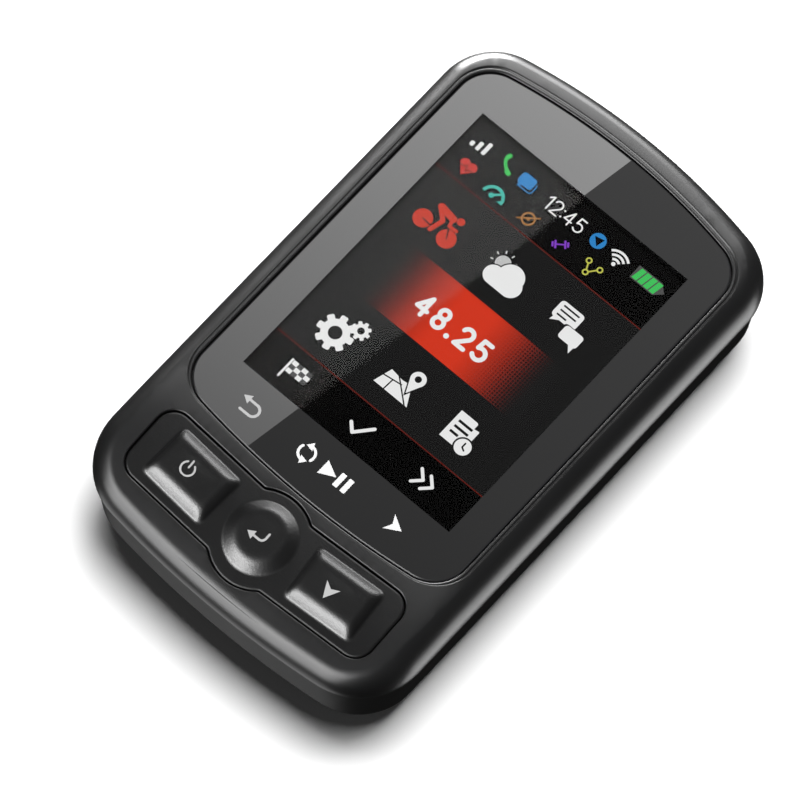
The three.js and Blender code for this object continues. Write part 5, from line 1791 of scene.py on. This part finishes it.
INSIDE_FINISHES = {
    "case_seal": "seal_rubber",
    "lens_tape": "adhesive_tape",
    "lcd_frame": "white_plastic",
    "lcd_light_guide": "white_plastic",
    "lcd_cell": "screen_black",
    "lcd_flex": "ribbon_film",
    "lcd_connector": "white_plastic",
    "keypad_retainer": "shell_plastic",
    "main_board": "circuit_board",
    "gps_antenna": "ceramic",
    "rf_shield": "tinned_steel",
    "processor": "chip_epoxy",
    "memory_chip": "chip_epoxy",
    "buzzer": "chip_epoxy",
    "barometer": "tinned_steel",
    "vent_membrane": "white_plastic",
    "usb_socket": "tinned_steel",
    "port_gasket": "seal_rubber",
    "battery": "pouch_foil",
    "battery_foam": "foam",
    "battery_wire_red": "red_insulation",
    "battery_wire_black": "black_insulation",
    "battery_plug": "white_plastic",
    "battery_socket": "white_plastic",
    "power_switch_base": "chip_epoxy",
    "enter_switch_base": "chip_epoxy",
    "down_switch_base": "chip_epoxy",
}


def finish_inside():
    for name, finish in INSIDE_FINISHES.items():
        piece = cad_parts[name]
        for entry in piece.material_slots:
            entry.material = MATERIALS[finish]


# ---------------------------------------------------------------------------------------------
# Stage
# ---------------------------------------------------------------------------------------------


AIM_LEFT, AIM_DOWN = 8.11, 9.97  # the camera looks this far from the middle of the screen


def view_axes():
    """Unit vectors towards the camera, to its right and up its picture."""
    s = settings().stage
    az, el, roll = s.azimuth, s.elevation, s.roll
    back = Vector((math.sin(az) * math.cos(el), -math.cos(az) * math.cos(el), math.sin(el)))
    right = Vector((math.cos(az), math.sin(az), 0))
    up = back.cross(right)
    c, s = math.cos(roll), math.sin(roll)
    return back, right * c + up * s, up * c - right * s


def screen_middle():
    """The point that the camera's distance is measured from."""
    return Vector((-0.12, middle_of_window(), FACE_Z)) * MM


def make_camera():
    s = settings().stage
    back, right, up = view_axes()
    screen = screen_middle()
    target = screen - right * AIM_LEFT * MM - up * AIM_DOWN * MM
    place = screen + back * s.distance
    away = (place - target).normalized()
    side = up.cross(away).normalized()
    upright = away.cross(side)
    data = bpy.data.cameras.new("Camera")
    data.sensor_width = 36
    data.lens = s.lens
    data.clip_end = 10
    camera = bpy.data.objects.new("Camera", data)
    turned = Matrix((side, upright, away)).transposed().to_4x4()
    camera.matrix_world = Matrix.Translation(place) @ turned
    bpy.context.collection.objects.link(camera)
    bpy.context.scene.camera = camera


LAMPS_AIM = 0.015  # height that the lamps look at, in metres


def only_for(source, names):
    """Lets a lamp or card reach the named pieces alone."""
    reached = bpy.data.collections.new(f"{source.name}_reaches")
    for name in names:
        reached.objects.link(bpy.data.objects[name])
    source.light_linking.receiver_collection = reached


def make_lamp(name, toward, distance, across, along, watts, glossy=True, diffuse=True, reaches=()):
    """An area lamp that looks at the case from a direction; distance and sizes in metres."""
    data = bpy.data.lights.new(name, "AREA")
    data.energy = watts
    data.shape = "RECTANGLE"
    data.size, data.size_y = across, along
    lamp = bpy.data.objects.new(name, data)
    direction = Vector(toward).normalized()
    lamp.location = Vector((0, 0, LAMPS_AIM)) + direction * distance
    lamp.rotation_euler = direction.to_track_quat("Z", "Y").to_euler()
    lamp.visible_glossy = glossy
    lamp.visible_transmission = glossy
    lamp.visible_diffuse = diffuse
    bpy.context.collection.objects.link(lamp)
    if reaches:
        only_for(lamp, reaches)


def make_card(name, corners, strength_low, strength_high, reaches):
    """A glowing card that only the named pieces mirror, brighter towards its far end."""
    mesh = bpy.data.meshes.new(name)
    mesh.from_pydata(corners, [], [(0, 1, 2, 3)])
    card = bpy.data.objects.new(name, mesh)
    material = bpy.data.materials.new(name)
    material.use_nodes = True
    tree = material.node_tree
    tree.nodes.clear()
    glow = tree.nodes.new("ShaderNodeEmission")
    out = tree.nodes.new("ShaderNodeOutputMaterial")
    coordinates = tree.nodes.new("ShaderNodeTexCoord")
    split = tree.nodes.new("ShaderNodeSeparateXYZ")
    ramp = tree.nodes.new("ShaderNodeMapRange")
    tree.links.new(coordinates.outputs["Generated"], split.inputs[0])
    tree.links.new(split.outputs["Y"], ramp.inputs["Value"])
    ramp.inputs["To Min"].default_value = strength_low
    ramp.inputs["To Max"].default_value = strength_high
    tree.links.new(ramp.outputs["Result"], glow.inputs["Strength"])
    tree.links.new(glow.outputs[0], out.inputs["Surface"])
    mesh.materials.append(material)
    bpy.context.collection.objects.link(card)
    card.visible_camera = False
    card.visible_diffuse = False
    card.visible_shadow = False
    only_for(card, reaches)


def make_floor():
    s = settings().stage
    mesh = bpy.data.meshes.new("floor")
    reach = 4.0
    corners = [(-reach, -reach, 0), (reach, -reach, 0), (reach, reach, 0), (-reach, reach, 0)]
    mesh.from_pydata(corners, [], [(0, 1, 2, 3)])
    floor = bpy.data.objects.new("floor", mesh)
    material = bpy.data.materials.new("floor")
    material.use_nodes = True
    shader = material.node_tree.nodes["Principled BSDF"]
    shader.inputs["Base Color"].default_value = (*s.floor, 1)
    shader.inputs["Roughness"].default_value = 0.9
    shader.inputs["Specular IOR Level"].default_value = 0.1
    mesh.materials.append(material)
    bpy.context.collection.objects.link(floor)
    floor.visible_glossy = False
    floor.visible_diffuse = False
    floor.visible_shadow = False


def reflected(point, height):
    """Where the camera's ray, mirrored by the glass at a point in mm, meets a height in metres."""
    back, _, _ = view_axes()
    s = settings().stage
    camera = screen_middle() + back * s.distance
    spot = Vector((*point, LENS_HIGH.z)) * MM
    ray = (spot - camera).normalized()
    ray.z = -ray.z
    return spot + ray * ((height - spot.z) / ray.z)


CARD_HEIGHT = 0.45  # in metres


def make_lights():
    world = bpy.data.worlds.new("World")
    world.use_nodes = True
    background = world.node_tree.nodes["Background"]
    background.inputs["Color"].default_value = (1, 1, 1, 1)
    background.inputs["Strength"].default_value = 0.025
    bpy.context.scene.world = world
    # the main lamp stands behind and above; what the glass shows of it is the card below
    make_lamp("key_lamp", (0.0, 0.15, 0.99), 1.1, 0.55, 0.55, 22, glossy=False)
    make_lamp("fill_lamp", (0.35, -0.55, 0.75), 1.3, 1.0, 1.0, 0.3, glossy=False)
    # the rest only shine: on the keys' slopes, the shell's shoulders and the edge of the glass
    shell = ["front_shell_skin", "keypad_rubber"]
    keys = [f"{name}_skin" for name, _ in key_plans()]
    above, below = (-0.23, 0.912, 0.341), (-0.23, -0.895, 0.38)
    strips = (
        # (name, direction, distance, size across, size along, watts, what it reaches)
        ("upper_key_strip", above, 0.9, 0.75, 0.28, 10, keys),
        ("lower_key_strip", below, 0.9, 0.8, 0.3, 26, keys),
        ("top_shell_strip", (-0.42, 0.88, 0.1), 0.9, 0.5, 0.6, 8, shell),
        ("upper_shell_strip", (-0.35, 0.72, 0.6), 0.9, 0.5, 0.4, 4, shell),
        ("end_shell_strip", below, 0.9, 0.8, 0.6, 11, shell),
        ("low_end_strip", (-0.23, -0.7, -0.68), 0.5, 0.4, 0.4, 0.7, [*shell, "rear_shell_skin"]),
        ("left_shell_strip", (-0.25, 0.24, 0.01), 0.34, 0.18, 0.22, 4.4, shell),
        ("right_shell_strip", (0.7, 0.306, -0.64), 0.5, 0.3, 0.3, 0.9, shell),
        ("edge_strip", (-0.23, -0.66, 0.7), 0.9, 0.7, 0.2, 5, ["cover_glass", "front_shell_skin"]),
    )
    for *values, reaches in strips:
        make_lamp(*values, diffuse=False, reaches=reaches)
    # the card's edge crosses the glass from above the window's right half to its lower left
    y0 = middle_of_window()
    upper = reflected((1.2, 30.3 + y0), CARD_HEIGHT)
    lower = reflected((-9.1, -31.0 + y0), CARD_HEIGHT)
    along = (upper - lower).normalized()
    across = Vector((-along.y, along.x, 0))
    top, bottom = upper + along * 0.07, lower - along * 0.03
    cards = (
        ("bright_card", 0.22, 0.7, 5.7, ["cover_glass", "front_shell_skin"]),
        ("dim_card", -0.22, 0.04, 0.7, ["cover_glass"]),
    )
    for name, side, low, high, reaches in cards:
        corners = [bottom, bottom + across * side, top + across * side, top]
        make_card(name, [tuple(p) for p in corners], low, high, reaches)


# ---------------------------------------------------------------------------------------------
# Operators
# ---------------------------------------------------------------------------------------------


class COMPUTER_OT_camera(bpy.types.Operator):
    """Place the camera that looks down on the case"""

    bl_idname = "computer.camera"
    bl_label = "Place Camera"

    def execute(self, context):
        make_camera()
        return {"FINISHED"}


class COMPUTER_OT_materials(bpy.types.Operator):
    """Build the shader groups and every finish"""

    bl_idname = "computer.materials"
    bl_label = "Make Materials"

    def execute(self, context):
        build_materials()
        return {"FINISHED"}


class COMPUTER_OT_front_shell(bpy.types.Operator):
    """Build the front shell with its shoulder and glass lip"""

    bl_idname = "computer.front_shell"
    bl_label = "Front Shell"

    def execute(self, context):
        make_front_shell()
        return {"FINISHED"}


class COMPUTER_OT_rear_shell(bpy.types.Operator):
    """Build the rear shell with the mount, port and screw holes"""

    bl_idname = "computer.rear_shell"
    bl_label = "Rear Shell"

    def execute(self, context):
        make_rear_shell()
        return {"FINISHED"}


class COMPUTER_OT_screws(bpy.types.Operator):
    """Build the case and board screws"""

    bl_idname = "computer.screws"
    bl_label = "Screws"

    def execute(self, context):
        make_screws()
        return {"FINISHED"}


class COMPUTER_OT_cover_glass(bpy.types.Operator):
    """Build the cover glass with its printed border"""

    bl_idname = "computer.cover_glass"
    bl_label = "Cover Glass"

    def execute(self, context):
        make_lens()
        return {"FINISHED"}


class COMPUTER_OT_glass_print(bpy.types.Operator):
    """Print the symbols below the window"""

    bl_idname = "computer.glass_print"
    bl_label = "Glass Print"

    def execute(self, context):
        make_glass_print()
        return {"FINISHED"}


class COMPUTER_OT_screen(bpy.types.Operator):
    """Draw the lit picture on the screen"""

    bl_idname = "computer.screen"
    bl_label = "Screen Picture"

    def execute(self, context):
        make_screen()
        return {"FINISHED"}


class COMPUTER_OT_keypad(bpy.types.Operator):
    """Build the rubber pad around the keys"""

    bl_idname = "computer.keypad"
    bl_label = "Keypad"

    def execute(self, context):
        make_keypad()
        return {"FINISHED"}


class COMPUTER_OT_keys(bpy.types.Operator):
    """Build the keys with their symbols, plungers and domes"""

    bl_idname = "computer.keys"
    bl_label = "Keys"

    def execute(self, context):
        make_keys()
        return {"FINISHED"}


class COMPUTER_OT_port_cover(bpy.types.Operator):
    """Build the flap over the charging port"""

    bl_idname = "computer.port_cover"
    bl_label = "Port Cover"

    def execute(self, context):
        make_port_cover()
        return {"FINISHED"}


class COMPUTER_OT_inside(bpy.types.Operator):
    """Give the inside parts their finishes"""

    bl_idname = "computer.inside"
    bl_label = "Inside Finishes"

    def execute(self, context):
        finish_inside()
        return {"FINISHED"}


class COMPUTER_OT_stage(bpy.types.Operator):
    """Lay the floor and set up the studio lights"""

    bl_idname = "computer.stage"
    bl_label = "Stage"

    def execute(self, context):
        make_floor()
        make_lights()
        return {"FINISHED"}


OPERATORS = [
    COMPUTER_OT_camera,
    COMPUTER_OT_materials,
    COMPUTER_OT_front_shell,
    COMPUTER_OT_rear_shell,
    COMPUTER_OT_screws,
    COMPUTER_OT_cover_glass,
    COMPUTER_OT_glass_print,
    COMPUTER_OT_screen,
    COMPUTER_OT_keypad,
    COMPUTER_OT_keys,
    COMPUTER_OT_port_cover,
    COMPUTER_OT_inside,
    COMPUTER_OT_stage,
]


class COMPUTER_PT_panel(bpy.types.Panel):
    """Lists the pieces of the bicycle computer"""

    bl_idname = "COMPUTER_PT_panel"
    bl_label = "Bicycle Computer"
    bl_space_type = "VIEW_3D"
    bl_region_type = "UI"
    bl_category = "Bicycle Computer"

    def draw(self, context):
        column = self.layout.column(align=True)
        for entry in OPERATORS:
            column.operator(entry.bl_idname)


CLASSES = [
    CaseSettings,
    GlassSettings,
    KeySettings,
    ScreenSettings,
    StageSettings,
    ComputerSettings,
    *OPERATORS,
    COMPUTER_PT_panel,
]


def register():
    for entry in CLASSES:
        bpy.utils.register_class(entry)
    bpy.types.Scene.bicycle_computer = bpy.props.PointerProperty(type=ComputerSettings)


def unregister():
    del bpy.types.Scene.bicycle_computer
    for entry in reversed(CLASSES):
        bpy.utils.unregister_class(entry)


def main():
    register()
    bpy.context.scene.view_settings.view_transform = "Standard"
    for entry in OPERATORS:
        getattr(bpy.ops.computer, entry.bl_idname.split(".")[1])()


if __name__ == "__main__":
    main()
